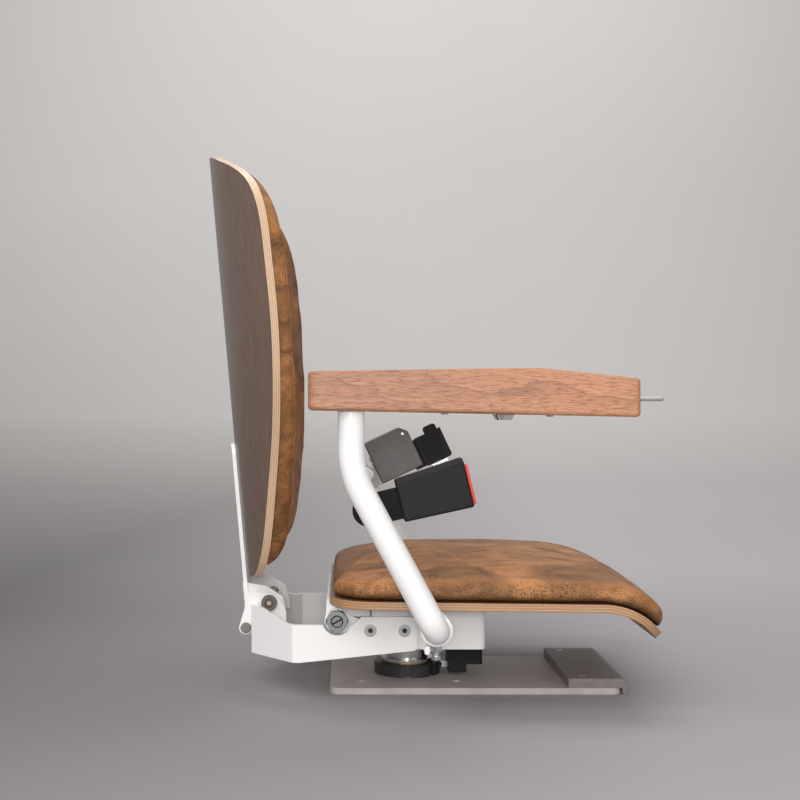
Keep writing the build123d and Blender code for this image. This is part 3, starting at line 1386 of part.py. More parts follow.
def joystick_switch():
    at = (-ARM_Y, STICK_Z)
    front = REST_FRONT - 0.5
    body = rod("X", SWITCH_RADIUS, (SWITCH_REAR + SOFT_GAP, front), at)
    return body - rod("X", SWITCH_BORE, (SWITCH_REAR + SWITCH_WALL, front + 1), at)


def joystick_pin():
    at = (-ARM_Y, STICK_Z)
    pin = rod("X", STICK_RADIUS, (STICK_PIVOT_X, STICK_TIP), at)
    tip = pin.edges().filter_by(GeomType.CIRCLE).sort_by(Axis.X)[-1:]
    ball = Pos(STICK_PIVOT_X, *at) * Rot(0, 90, 0) * Sphere(STICK_BALL)
    return fillet(tip, STICK_RADIUS * 0.8) + ball


# ------------------------------------------------------------------ buckle
BUCKLE_PLACE = Pos(BUCKLE_BOLT_X, 0, BUCKLE_BOLT_Z) * Rot(0, -BUCKLE_ANGLE, 0)
TUBE_INNER_Y = ARM_Y - TUBE_RADIUS
STALK_OUTER_Y = COVER_OUTER_Y - STALK_DEPTH
STALK_INNER_Y = STALK_OUTER_Y - STALK_THICK
COVER_INNER_Y = COVER_OUTER_Y - COVER_THICK
COVER_FRONT = COVER_REAR + COVER_LENGTH


def buckle_bolt():
    """Bolt from the arm tube's inner side, with a shoulder that spaces the stalk off the tube."""
    at = (0, 0)
    head_inner = STALK_INNER_Y - SIDE_GAP - BUCKLE_BOLT_HEAD_THICK
    bolt = rod("Y", BUCKLE_BOLT_RADIUS, (-head_inner, -TUBE_INNER_Y), at)
    bolt += rod("Y", BUCKLE_BOLT_HEAD, (-head_inner, SIDE_GAP - STALK_INNER_Y), at)
    spacer = (-STALK_OUTER_Y - SIDE_GAP, -TUBE_INNER_Y + SOFT_GAP)
    return BUCKLE_PLACE * (bolt + rod("Y", BUCKLE_BOLT_HEAD - 1, spacer, at))


def buckle_stalk():
    y = (-STALK_INNER_Y, -STALK_OUTER_Y)
    stalk = block((0, STALK_FRONT), y, (-STALK_HALF, STALK_HALF))
    stalk += rod("Y", STALK_HALF, y, (0, 0))
    stalk -= rod("Y", BUCKLE_BOLT_RADIUS + RUNNING, (0, -THROUGH), (0, 0))
    return BUCKLE_PLACE * stalk


def buckle_cover():
    rear, front = COVER_REAR, COVER_FRONT
    outline = [
        (rear, -COVER_LOWER_REAR),
        (front, -COVER_LOWER_FRONT),
        (front, COVER_UPPER_FRONT),
        (rear, COVER_UPPER_REAR),
    ]
    cover = side_plate(outline, (-COVER_INNER_Y, -COVER_OUTER_Y))
    top = cover.faces().sort_by(Axis.Z)[-1]
    edge = top.edges().sort_by(Axis.Y)[0]
    cover = chamfer(edge, COVER_SLOPE_DEEP, COVER_SLOPE_HIGH, reference=top)
    cover = fillet(cover.edges(), COVER_ROUND)
    slot_low = COVER_INNER_Y + COVER_WALL
    slot_y = (-slot_low, -slot_low - TONGUE_SLOT)
    slot_reach = (front - TONGUE_SLOT_DEEP, front + 1)
    cover -= block(slot_reach, slot_y, (-TONGUE_SLOT_HALF, TONGUE_SLOT_HALF))
    pocket_y = (-COVER_OUTER_Y + COVER_WALL, -COVER_OUTER_Y + COVER_WALL + BUTTON_POCKET)
    pocket_reach = (front - BUTTON_POCKET_DEEP, front + 1)
    pocket_z = (-BUTTON_LOW - BUTTON_GAP, BUTTON_HIGH + BUTTON_GAP)
    cover -= block(pocket_reach, pocket_y, pocket_z)
    stalk_y = (-STALK_INNER_Y + SOFT_GAP, -STALK_OUTER_Y - SOFT_GAP)
    stalk_half = STALK_HALF + SOFT_GAP
    stalk_reach = (rear - 1, STALK_FRONT + SOFT_GAP)
    cover -= block(stalk_reach, stalk_y, (-stalk_half, stalk_half))
    return BUCKLE_PLACE * cover


def buckle_button():
    low = COVER_OUTER_Y - COVER_WALL - BUTTON_POCKET + BUTTON_GAP
    y = (-low, -COVER_OUTER_Y + COVER_WALL + BUTTON_GAP)
    front = COVER_FRONT + BUTTON_PROUD
    button = block((front - BUTTON_LENGTH, front), y, (-BUTTON_LOW, BUTTON_HIGH))
    button = fillet(button.faces().sort_by(Axis.X)[-1].edges(), 1.2)
    return BUCKLE_PLACE * button


# ------------------------------------------------------------------ belt retractor, on the left
REEL_PLACE = Pos(REEL_X, ARM_Y, REEL_Z) * Rot(0, -REEL_ANGLE, 0)
HALF_LONG, HALF_HIGH, HALF_WIDE = REEL_LONG / 2, REEL_HIGH / 2, REEL_WIDE / 2


def retractor_cover():
    cover = Box(REEL_LONG, REEL_WIDE, REEL_HIGH)
    upper_front = cover.edges().filter_by(Axis.Y).sort_by(lambda e: e.center().X + e.center().Z)
    cover = chamfer(upper_front[-1], REEL_SLOPE)
    outer_edges = cover.edges().filter_by(Axis.Y)
    cover = fillet(outer_edges, REEL_ROUND / 2)
    for face in (cover.faces().sort_by(Axis.Y)[0], cover.faces().sort_by(Axis.Y)[-1]):
        cover = fillet(cover.edges().filter_by_position(Axis.Y, face.center().Y - 0.01,
                                                        face.center().Y + 0.01), 2)
    wall = 2 * REEL_WALL
    deep = REEL_HIGH - wall - REEL_SLOPE
    room = Box(REEL_LONG - wall, REEL_WIDE - wall, deep)
    cover -= Pos(0, 0, -REEL_SLOPE / 2) * room
    slot_half = WEB_HALF + SIDE_GAP
    slot = block((0, HALF_LONG + 1), (-WEB_THICK, WEB_THICK),
                 (-WEB_DROP - slot_half, slot_half - WEB_DROP))
    bore = rod("Z", SPOOL_AXLE + SCREW_GAP, (-HALF_HIGH - 1, HALF_HIGH - REEL_SLOPE), (0, 0))
    cover -= bore & Pos(0, 0, -HALF_HIGH) * Box(20, 20, 2 * REEL_WALL + 0.1)
    return REEL_PLACE * (cover - slot)


def retractor_spool():
    """Spool with the belt wound on it, and its axle."""
    low = -HALF_HIGH + REEL_WALL + SIDE_GAP
    high = low + 2 * (WEB_HALF + SPOOL_FLANGE_THICK + SIDE_GAP)
    spool = rod("Z", SPOOL_CORE + (SPOOL_RADIUS - SPOOL_CORE) * 0.85, (low, high), (0, 0))
    flange = SPOOL_FLANGE_THICK
    spool += rod("Z", SPOOL_RADIUS, (low, low + flange), (0, 0))
    spool += rod("Z", SPOOL_RADIUS, (high - flange, high), (0, 0))
    spool += rod("Z", SPOOL_AXLE, (-HALF_HIGH, low + 1), (0, 0))
    return REEL_PLACE * spool


def retractor_bracket():
    """Bright plate between cover and tube, with an ear bolted to the tube's inner side."""
    rear = -HALF_LONG - REEL_PLATE_THICK
    plate = block((rear, -HALF_LONG), (-REEL_PLATE_HALF, REEL_PLATE_HALF),
                  (-HALF_HIGH, HALF_HIGH * 0.35))
    inner = TUBE_INNER_Y - SOFT_GAP
    at = (REEL_BOLT_X, REEL_BOLT_Z)
    ear = rod("Y", REEL_EAR_HALF, (inner - REEL_EAR_THICK, inner), at)
    strip = block((rear - REEL_EAR_HALF, -HALF_LONG), (inner - REEL_EAR_THICK - ARM_Y, inner - ARM_Y),
                  (-HALF_HIGH, -HALF_HIGH * 0.25))
    bracket = REEL_PLACE * (plate + strip) + ear
    return bracket - rod("Y", REEL_BOLT_RADIUS + SCREW_GAP, (0, THROUGH), at)


def retractor_bolt():
    at = (REEL_BOLT_X, REEL_BOLT_Z)
    inner = TUBE_INNER_Y - SOFT_GAP - REEL_EAR_THICK
    cap = rod("Y", REEL_CAP_RADIUS, (inner - REEL_CAP_THICK, inner), at)
    cap = fillet(cap.edges().filter_by(GeomType.CIRCLE).sort_by(Axis.Y)[:1], 2.5)
    return cap + rod("Y", REEL_BOLT_RADIUS, (inner - 1, TUBE_INNER_Y), at)


def belt_webbing():
    ends = (SPOOL_RADIUS + 1, GRIP_REAR + 8)
    web = block(ends, (-WEB_THICK / 2, WEB_THICK / 2), (-WEB_DROP - WEB_HALF, WEB_HALF - WEB_DROP))
    return REEL_PLACE * web


def belt_grip():
    """Moulded grip of the belt tongue, with plain ribs."""
    low, high = -WEB_DROP - GRIP_HALF, GRIP_HALF - WEB_DROP
    half = GRIP_THICK / 2
    grip = block((GRIP_REAR, GRIP_REAR + GRIP_LONG), (-half, half), (low, high))
    lobe_reach = (GRIP_LOBE_REAR, GRIP_LOBE_REAR + GRIP_LOBE_LONG)
    grip += block(lobe_reach, (-half, half), (high - 1, high + GRIP_LOBE_HIGH))
    outside = grip.edges().filter_by(Axis.Y)
    corners = outside.filter_by(lambda e: e.center().Z > high + 2 or e.center().Z < low + 2)
    grip = fillet(corners, 4.5)
    first = GRIP_REAR + 6
    for number in range(GRIP_RIB_COUNT):
        x = first + number * GRIP_RIB_PITCH
        for side in (-1, 1):
            y = (side * (half - 0.5), side * (half + GRIP_RIB_HIGH))
            grip += block((x, x + GRIP_RIB_WIDE), y, (low + 6, high - 6))
    web_gap = SIDE_GAP / 2
    slot_y = WEB_THICK / 2 + web_gap
    grip -= block((GRIP_REAR - 1, GRIP_REAR + 9), (-slot_y, slot_y),
                  (-WEB_DROP - WEB_HALF - web_gap, WEB_HALF - WEB_DROP + web_gap))
    blade_y = TONGUE_THICK / 2 + SCREW_GAP
    middle = GRIP_REAR + GRIP_LONG / 2
    blade_half = TONGUE_HALF + SCREW_GAP
    grip -= block((middle - blade_half, middle + blade_half), (-blade_y, blade_y),
                  (low - 1, low + 5))
    return REEL_PLACE * grip


def belt_tongue():
    low = -WEB_DROP - GRIP_HALF
    middle = GRIP_REAR + GRIP_LONG / 2
    half = TONGUE_THICK / 2
    blade = block((middle - TONGUE_HALF, middle + TONGUE_HALF), (-half, half),
                  (low - TONGUE_LONG, low + 5 - SCREW_GAP))
    blade = fillet(blade.edges().filter_by(Axis.Y).group_by(Axis.Z)[0], 5)
    window_z = (low - TONGUE_LONG * 0.75, low - TONGUE_LONG * 0.5)
    blade -= block((middle - TONGUE_HALF / 2, middle + TONGUE_HALF / 2), (-5, 5), window_z)
    return REEL_PLACE * blade


# ------------------------------------------------------------------ swivel latch
def latch_housing():
    outline = [
        (LATCH_REAR, LATCH_NOSE_BOTTOM),
        (LATCH_NOSE_FRONT, LATCH_NOSE_BOTTOM),
        (LATCH_NOSE_FRONT, LATCH_BODY_BOTTOM),
        (LATCH_FRONT, LATCH_BODY_BOTTOM),
        (LATCH_FRONT, LATCH_SLOPE_TOP),
        (BOX_FRONT - 4, BOX_BOTTOM - 8),
        (BOX_FRONT - 4, BOX_BOTTOM),
        (LATCH_REAR + 3, BOX_BOTTOM),
        (LATCH_REAR, BOX_BOTTOM - 4),
    ]
    housing = side_plate(outline, (-LATCH_HALF, LATCH_HALF))
    housing = fillet(housing.edges().filter_by(Axis.Z).group_by(Axis.X)[-1], LATCH_CORNER)
    channel_half = PAWL_HALF + PAWL_GAP
    channel_z = (PAWL_BOTTOM - PAWL_GAP, PAWL_TOP + PAWL_GAP)
    rear_end = PAWL_REAR + 2
    housing -= block((LATCH_REAR - 1, rear_end), (-channel_half, channel_half), channel_z)
    pad = LEVER_EYE_THICK / 2 + PAWL_GAP
    lug_x = (LEVER_X - pad - 4, LEVER_X + pad + 4)
    lug_z = (LEVER_Z - LEVER_EYE, LEVER_Z + LEVER_EYE)
    lugs = block(lug_x, (LATCH_HALF - 1, LATCH_LUG_END), lug_z)
    clear_half = LEVER_EYE + 1
    eye_space = block((LEVER_X - pad, LEVER_X + pad), (LEVER_PIVOT_Y - clear_half, LATCH_LUG_END + 1),
                      (LEVER_Z - clear_half, LEVER_Z + clear_half))
    housing = housing + lugs - eye_space
    return housing + rod("X", LEVER_PIN, (lug_x[0] + 1, lug_x[1] - 1), (LEVER_PIVOT_Y, LEVER_Z))


def swivel_pawl():
    pawl = block((PAWL_TIP, PAWL_REAR), (-PAWL_HALF, PAWL_HALF), (PAWL_BOTTOM, PAWL_TOP))
    return chamfer(pawl.edges().filter_by(Axis.Z).group_by(Axis.X)[0], 1.5)


def swivel_lever():
    half = LEVER_EYE_THICK / 2
    at = (LEVER_PIVOT_Y, LEVER_Z)
    lever = rod("X", LEVER_EYE, (LEVER_X - half, LEVER_X + half), at)
    lever += rod("Y", LEVER_RADIUS, (LEVER_PIVOT_Y, LEVER_END), (LEVER_X, LEVER_Z))
    return lever - rod("X", LEVER_PIN + RUNNING, (LEVER_X - 20, LEVER_X + 20), at)


def swivel_knob():
    rear = LEVER_END - KNOB_LENGTH / 2
    ends = (rear, rear + KNOB_LENGTH)
    knob = rod("Y", KNOB_RADIUS, ends, (LEVER_X, LEVER_Z))
    knob = fillet(knob.edges().filter_by(GeomType.CIRCLE), 4)
    return knob - rod("Y", LEVER_RADIUS + SCREW_GAP, (rear - 1, LEVER_END + SOFT_GAP),
                      (LEVER_X, LEVER_Z))


# ------------------------------------------------------------------ all pieces
def main():
    os.makedirs("parts", exist_ok=True)

    write("base_plate", base_plate())
    write("nose_cover", nose_cover())
    write("index_ring", index_ring())
    write("swivel_bush", swivel_bush())
    write("base_screws", *base_screws())

    write("swivel_hub", swivel_hub())
    write("spindle_screw", spindle_screw())
    write("hub_screws", *hub_screws())
    write("main_box", main_box())
    write("rear_frame", rear_frame())
    write("rear_frame_screws", *rear_frame_screws())
    paired = {
        "arm_bosses": arm_boss(),
        "arm_pivot_shafts": arm_shaft(),
        "seat_hinge_pins": seat_hinge_pin(),
        "seat_hinge_nuts": seat_hinge_nut(),
        "tilt_cheeks": tilt_cheek(),
        "tilt_rod_caps": tilt_cap(),
        "tilt_lock_rings": lock_ring(),
    }
    for name, shape in paired.items():
        write(name, shape, other_side(shape))
    write("seat_buffers", *seat_buffers())
    write("tilt_rod", tilt_rod())
    write("tilt_lock_pin", lock_pin())
    write("latch_housing", latch_housing())
    write("swivel_pawl", swivel_pawl())
    write("swivel_lever", swivel_lever())
    write("swivel_knob", swivel_knob())

    write("back_bracket", back_bracket())
    write("back_shell", back_shell())
    write("back_cushion", back_cushion())
    write("back_screws", *back_screws())

    write("seat_bracket", seat_bracket())
    write("seat_shell", seat_shell())
    write("seat_cushion", seat_cushion())
    write("seat_screws", *seat_screws())

    both_arms = {
        "arm_tube": [arm_tube()],
        "arm_plate": [arm_plate()],
        "arm_screws": arm_screws(),
        "arm_stop_bolt": [arm_stop_bolt()],
    }
    for name, shapes in both_arms.items():
        write(f"{name}_right", *shapes)
        write(f"{name}_left", *[other_side(shape) for shape in shapes])
    write("armrest_right", armrest_right())
    write("armrest_left", other_side(armrest_blank()))
    write("armrest_panel", armrest_panel())
    write("panel_screws", *panel_screws())
    write("key_switch_body", key_switch_body())
    write("key_switch_barrel", key_switch_barrel())
    write("joystick_switch", joystick_switch())
    write("joystick_pin", joystick_pin())
    write("buckle_bolt", buckle_bolt())
    write("buckle_stalk", buckle_stalk())
    write("buckle_cover", buckle_cover())
    write("buckle_button", buckle_button())

    write("retractor_cover", retractor_cover())
    write("retractor_spool", retractor_spool())
    write("retractor_bracket", retractor_bracket())
    write("retractor_bolt", retractor_bolt())
    write("belt_webbing", belt_webbing())
    write("belt_grip", belt_grip())
    write("belt_tongue", belt_tongue())


main()
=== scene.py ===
import math

import bpy
from bpy.props import FloatProperty, FloatVectorProperty, IntProperty, PointerProperty
from mathutils import Matrix, Vector, noise
from mathutils.bvhtree import BVHTree


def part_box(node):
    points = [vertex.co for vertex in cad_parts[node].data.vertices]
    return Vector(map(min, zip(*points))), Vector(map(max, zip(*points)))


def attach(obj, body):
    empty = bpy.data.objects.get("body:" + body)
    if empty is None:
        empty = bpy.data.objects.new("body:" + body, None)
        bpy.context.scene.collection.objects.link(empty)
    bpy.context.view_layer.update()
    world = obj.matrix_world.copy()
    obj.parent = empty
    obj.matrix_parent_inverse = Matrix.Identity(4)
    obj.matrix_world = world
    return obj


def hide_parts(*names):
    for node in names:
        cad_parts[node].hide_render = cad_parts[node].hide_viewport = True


bl_info = {
    "name": "Stairlift chair",
    "version": (1, 0, 0),
    "blender": (4, 5, 0),
    "location": "View3D > Sidebar > Chair",
    "description": "Dresses a stairlift chair: cushions, finishes and studio",
    "category": "Object",
}

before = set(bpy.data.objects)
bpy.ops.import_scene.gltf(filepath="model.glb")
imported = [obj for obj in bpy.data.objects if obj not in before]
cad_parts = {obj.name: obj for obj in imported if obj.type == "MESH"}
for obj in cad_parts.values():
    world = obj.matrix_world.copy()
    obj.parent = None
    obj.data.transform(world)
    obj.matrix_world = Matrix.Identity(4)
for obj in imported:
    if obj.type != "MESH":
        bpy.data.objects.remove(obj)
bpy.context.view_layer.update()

# Places and sizes of the CAD solids, in metres and radians
SEAT_BODY = "seat"
BACK_BODY = "back"
ARM_BODY = "left_arm"
BACK_PIVOT = Vector((-0.2074, 0.0, 0.0759))
BACK_LEAN = math.radians(5.08)
BACK_TO_WORLD = Matrix.Translation(BACK_PIVOT) @ Matrix.Rotation(-BACK_LEAN, 4, "Y")
WORLD_TO_BACK = BACK_TO_WORLD.inverted()
SHELL_AXIS_X = 0.3526           # of the back shell's bend, in the back's own frame
SHELL_REAR_RADIUS = 0.350
SEAT_BEND_X = 0.217             # axis that the front of the seat board bends round
SEAT_BEND_Z = 0.0471
SEAT_BEND_RADIUS = 0.083        # to the board's top face
SEAT_BEND_TURN = math.radians(45)
SEAT_PLY = 0.0096               # thickness of the seat board and of the back shell
BACK_PLY = 0.0107
FRAME_SCREW_FACE = 0.133        # distance of these end faces from the middle plane
HINGE_PIN_FACE = 0.139
HINGE_PIN_AT = (-0.0912, 0.0968)        # x and z of these two axes
LOCK_PIN_AT = (-0.178, 0.1075)
REEL_AT = (-0.0085, 0.265, 0.283)
REEL_TURN = math.radians(25.2)
REEL_PLACE = Matrix.Translation(REEL_AT) @ Matrix.Rotation(-REEL_TURN, 4, "Y")

# Finishes
PAINT_EDGE = 0.0007             # radii that edges look rounded with
SATIN_EDGE = 0.0006
MOULDED_EDGE = 0.0008
METAL_EDGE = 0.0004
BOARD_EDGE = 0.0008
ARMREST_EDGE = 0.0012
FACE_SKIN = 0.0004              # depth at which a socket's shade begins
VENEER = 0.0003                 # thickness of a board's outer veneer
HINGE_SHADE = 0.0076           # radius of the painted shade round a hinge pin's end
LOCK_CORE = 0.0031              # radius of the lock pin's brass middle
SPECKLED = (0.006, 0.034)       # heights above the seat board: dense specks, and few
RIM_SHADOW = (0.0015, 0.0085)     # and the painted shadow along the leather's lower rim, at the board, and its end

# Cushions
CLOTH_PRESSURE = 4.0
CAP_MEAN = 0.72                 # mean share of the largest swelling that a point may have
CAP_WAVES = 16                  # how many times per metre the share rises and falls
SEAT_HELD = (0.55, 0.90)        # downward part of the normal: free, and held by the board
# distance from the shell's axis: free, and held by the shell
BACK_HELD = (SHELL_REAR_RADIUS - 0.020, SHELL_REAR_RADIUS - 0.0125)
WELT_POINTS = 144
WELT_START = 0.30               # the search walks inwards from here, along the shell
WELT_END = 0.05
WELT_STEP = 0.001
WELT_FACING = 0.80              # how squarely the front panel faces forward
WELT_SPREAD = 3                 # neighbours on each side that a point is averaged with

# Screw of the belt reel
REEL_SCREW_AT = Vector((0.0245, 0, 0.0225))     # in the reel's own frame
REEL_SCREW_RADIUS = 0.0027
REEL_SCREW_HIGH = 0.003
REEL_SCREW_ROUND = 0.0007
REEL_SCREW_CROSS = (0.0036, 0.0016, 0.0007)

# Stage
FLOOR_LEVEL = -0.0005
SWEEP_MIDDLE_Y = -0.6
SWEEP_SIZE = (14, 9, 1)
SWEEP_FAR_EDGE = 3.5            # edges beyond this y are bent up into the wall
SWEEP_RADIUS = 1.6
SWEEP_STEPS = 16
SWEEP_WALL = 5
SIDE_BY_DISTANCE = 0.12         # how far the side's edge leans out per metre away
RISE_BY_DISTANCE = 0.19         # what a metre away counts for, against a metre up
FLOOR_SIDES = (-0.85, 0.30)     # x of the painted shade at the left and of the pale right, on the floor
WALL_SIDES = (-2.4, 0.0)        # and on the wall
FLOOR_NEAR = (0.0, 0.20)        # rises over which the painted shade on the floor in front fades
RISE_TO_WALL = (0.10, 1.20)
RISE_TO_TOP = (1.10, 2.60)
LAMP_AIM = (0.02, 0, 0.33)
LAMPS = (                       # name, place, aim, size, watts
    ("front", (-0.6, -2.6, 1.3), LAMP_AIM, (2.4, 1.8), 34),
    ("low", (-0.11, -2.4, 0.56), (-0.13, 0.1, 0.1), (0.35, 0.3), 13),
    ("key", (-1.3, -1.3, 2.3), LAMP_AIM, (1.8, 1.6), 26),
    ("fill", (1.6, -2.2, 1.0), LAMP_AIM, (1.4, 1.8), 13),
    ("top", (0.2, 0.7, 2.5), LAMP_AIM, (2.2, 1.6), 25),
    ("wall", (0.6, 2.6, 3.6), (0.3, 5.3, 1.4), (3.0, 2.0), 62),
)
SKY_COLOUR = (0.80, 0.80, 0.81, 1.0)
SKY_STRENGTH = 0.36
CAMERA_AT = (-0.0803, -1.7, 0.365)
CAMERA_LENS = 58.12             # millimetres, on a sensor 36 wide
CAMERA_SENSOR = 36
CAMERA_SHIFT = 0.0675
CAMERA_REACH = 50


# ------------------------------------------------------------------ user values
def colour(name, description, default):
    return FloatVectorProperty(name=name, description=description, subtype="COLOR",
                               size=3, min=0.0, max=1.0, default=default)


def length(name, description, default):
    return FloatProperty(name=name, description=description, default=default, unit="LENGTH",
                         min=0.0001, max=0.1, precision=4)


class ChairSizes(bpy.types.PropertyGroup):
    voxel: length("Remesh size", "Edge length of a cushion's mesh", 0.005)
    slack: length("Slack", "How far a cushion starts inside its final shape", 0.0055)
    seat_swell: length("Seat swell", "Most that the seat cushion may swell", 0.0026)
    back_swell: length("Back swell", "Most that the back cushion may swell", 0.0022)
    welt: length("Welt radius", "Radius of the piping round the back cushion", 0.0012)
    frames: IntProperty(name="Cloth steps", description="Steps that the cushions swell for",
                        default=20, min=5, max=60)


class ChairColours(bpy.types.PropertyGroup):
    paint: colour("Frame paint", "Powder coat of frame, box and arm tubes",
                  (0.90, 0.885, 0.87))
    base: colour("Base plate", "Paint of the base plate", (0.40, 0.350, 0.340))
    black: colour("Black plastic", "Buckle and belt grip", (0.013, 0.0125, 0.011))
    reel: colour("Belt reel", "Cover of the belt reel", (0.080, 0.076, 0.073))
    nose: colour("Nose cover", "Moulded cover at the front of the base",
                 (0.185, 0.150, 0.150))
    red: colour("Button", "Release button of the buckle", (0.80, 0.055, 0.035))
    walnut: colour("Walnut", "Armrests", (0.440, 0.205, 0.112))
    walnut_dark: colour("Walnut lines", "Growth lines of the armrests",
                        (0.190, 0.082, 0.046))
    seat_ply: colour("Seat board", "Edge of the seat board", (0.58, 0.325, 0.165))
    back_ply: colour("Back board", "Edge of the back board", (0.86, 0.60, 0.39))
    veneer: colour("Back veneer", "Rear face of the back board", (0.215, 0.140, 0.100))
    hide: colour("Leather", "Lighter colour of the cushions", (0.56, 0.245, 0.085))
    hide_dark: colour("Leather shade", "Darker patches of the cushions",
                      (0.120, 0.051, 0.021))
    backdrop: colour("Backdrop", "Wall behind the chair", (0.76, 0.735, 0.72))
    # floor and floor_far: the floor's tones at the left and at the right; the dark left is
    # painted shade
    floor: colour("Floor", "Floor on the left of the chair", (0.125, 0.115, 0.117))
    floor_far: colour("Floor, right", "Floor on the right of the chair",
                      (0.47, 0.445, 0.45))


# ------------------------------------------------------------------ node helpers
class Board:
    """A material's node tree, with short calls for the nodes that the finishes use."""

    def __init__(self, name):
        self.material = bpy.data.materials.new(name)
        self.material.use_nodes = True
        self.tree = self.material.node_tree
        self.tree.nodes.clear()
        self.output = self.add("ShaderNodeOutputMaterial")
        self.shader = self.add("ShaderNodeBsdfPrincipled")
        self.link(self.shader.outputs[0], self.output.inputs["Surface"])

    def add(self, kind):
        return self.tree.nodes.new(kind)

    def link(self, source, target):
        self.tree.links.new(source, target)

    def put(self, value, target):
        """Sets a socket to a constant or links it to another socket."""
        if hasattr(value, "is_linked"):
            self.link(value, target)
        elif hasattr(value, "__len__"):
            target.default_value = tuple(value) + (1.0,) * (4 - len(value)) \
                if len(target.default_value) == 4 else tuple(value)
        else:
            target.default_value = value

    def place(self, stretch=(1, 1, 1), turn=(0, 0, 0), shift=(0, 0, 0)):
        """Object coordinates, shifted, turned and stretched in that order."""
        coordinates = self.add("ShaderNodeTexCoord").outputs["Object"]
        if any(shift) or any(turn):
            moved = self.add("ShaderNodeMapping")
            moved.vector_type = "TEXTURE"
            moved.inputs["Location"].default_value = shift
            moved.inputs["Rotation"].default_value = turn
            self.link(coordinates, moved.inputs["Vector"])
            coordinates = moved.outputs[0]
        if tuple(stretch) != (1, 1, 1):
            scaled = self.add("ShaderNodeMapping")
            scaled.inputs["Scale"].default_value = stretch
            self.link(coordinates, scaled.inputs["Vector"])
            coordinates = scaled.outputs[0]
        return coordinates

    def noise(self, vector, scale, detail=3.0, rough=0.5, bend=0.0):
        node = self.add("ShaderNodeTexNoise")
        self.link(vector, node.inputs["Vector"])
        node.inputs["Scale"].default_value = scale
        node.inputs["Detail"].default_value = detail
        node.inputs["Roughness"].default_value = rough
        node.inputs["Distortion"].default_value = bend
        return node.outputs["Fac"]

    def cells(self, vector, scale, feature="F1", random=1.0):
        node = self.add("ShaderNodeTexVoronoi")
        node.feature = feature
        self.link(vector, node.inputs["Vector"])
        node.inputs["Scale"].default_value = scale
        node.inputs["Randomness"].default_value = random
        return node.outputs["Distance"]

    def bands(self, vector, scale, bend=0.0, detail=2.0, detail_scale=1.0, axis="X"):
        node = self.add("ShaderNodeTexWave")
        node.bands_direction = axis
        self.link(vector, node.inputs["Vector"])
        node.inputs["Scale"].default_value = scale
        node.inputs["Distortion"].default_value = bend
        node.inputs["Detail"].default_value = detail
        node.inputs["Detail Scale"].default_value = detail_scale
        return node.outputs["Fac"]

    def steps(self, value, low, high, to_low=0.0, to_high=1.0):
        node = self.add("ShaderNodeMapRange")
        node.inputs["From Min"].default_value = low
        node.inputs["From Max"].default_value = high
        node.inputs["To Min"].default_value = to_low
        node.inputs["To Max"].default_value = to_high
        self.put(value, node.inputs["Value"])
        return node.outputs[0]

    def sum(self, kind, first, second=0.0):
        node = self.add("ShaderNodeMath")
        node.operation = kind
        self.put(first, node.inputs[0])
        self.put(second, node.inputs[1])
        return node.outputs[0]

    def blend(self, share, first, second, how="MIX"):
        node = self.add("ShaderNodeMix")
        node.data_type = "RGBA"
        node.blend_type = how
        self.put(share, node.inputs[0])
        self.put(first, node.inputs[6])
        self.put(second, node.inputs[7])
        return node.outputs[2]

    def split(self, vector):
        node = self.add("ShaderNodeSeparateXYZ")
        self.link(vector, node.inputs[0])
        return node.outputs

    def within(self, middle, radius):
        """1 closer than a radius to an axis along Y, which crosses (x, z)."""
        x, _, z = self.split(self.place())
        across = self.sum("SUBTRACT", x, middle[0])
        up = self.sum("SUBTRACT", z, middle[1])
        square = self.sum("ADD", self.sum("MULTIPLY", across, across),
                          self.sum("MULTIPLY", up, up))
        return self.sum("LESS_THAN", square, radius * radius)

    def sunk(self, face):
        """1 in sockets and slots, below end faces that lie at a distance on either side: where
        metal() paints their shade.
        """
        y = self.split(self.place())[1]
        return self.sum("LESS_THAN", self.sum("ABSOLUTE", y), face - FACE_SKIN)

    def soft_edge(self, radius):
        """Normal that rounds off sharp edges, as paint and moulding do."""
        node = self.add("ShaderNodeBevel")
        node.samples = 4
        node.inputs["Radius"].default_value = radius
        return node.outputs[0]

    def relief(self, height, strength, depth, normal=None):
        node = self.add("ShaderNodeBump")
        node.inputs["Strength"].default_value = strength
        node.inputs["Distance"].default_value = depth
        self.link(height, node.inputs["Height"])
        if normal is not None:
            self.link(normal, node.inputs["Normal"])
        return node.outputs[0]

    def finish(self, base, rough, normal=None, level=0.5, **constants):
        self.put(base, self.shader.inputs["Base Color"])
        self.put(rough, self.shader.inputs["Roughness"])
        self.shader.inputs["Specular IOR Level"].default_value = level
        if normal is not None:
            self.link(normal, self.shader.inputs["Normal"])
        for name, value in constants.items():
            self.shader.inputs[name.replace("_", " ").title()].default_value = value
        return self.material


def shade(base, factor):
    return tuple(min(channel * factor, 1.0) for channel in base)


# ------------------------------------------------------------------ finishes
def powder_coat(base):
    """Slightly wavy glossy powder coat."""
    board = Board("powder_coat")
    place = board.place()
    skin = board.noise(place, 420, 2, 0.5)
    cloud = board.noise(place, 9, 3, 0.55)
    tint = board.blend(board.steps(cloud, 0.3, 0.7), base, shade(base, 0.965))
    rough = board.steps(skin, 0.3, 0.7, 0.30, 0.38)
    normal = board.relief(skin, 0.16, 0.0003, board.soft_edge(PAINT_EDGE))
    return board.finish(tint, rough, normal, coat_weight=0.25, coat_roughness=0.18)


def dark_paint(name, base, rough_low, rough_high):
    """Satin paint with a fine texture and rubbed patches."""
    board = Board(name)
    place = board.place()
    grain = board.noise(place, 1400, 2, 0.6)
    cloud = board.noise(place, 22, 5, 0.6)
    tint = board.blend(board.steps(cloud, 0.35, 0.75), base, shade(base, 1.35))
    rough = board.steps(cloud, 0.3, 0.7, rough_low, rough_high)
    normal = board.relief(grain, 0.25, 0.0002, board.soft_edge(SATIN_EDGE))
    return board.finish(tint, rough, normal)


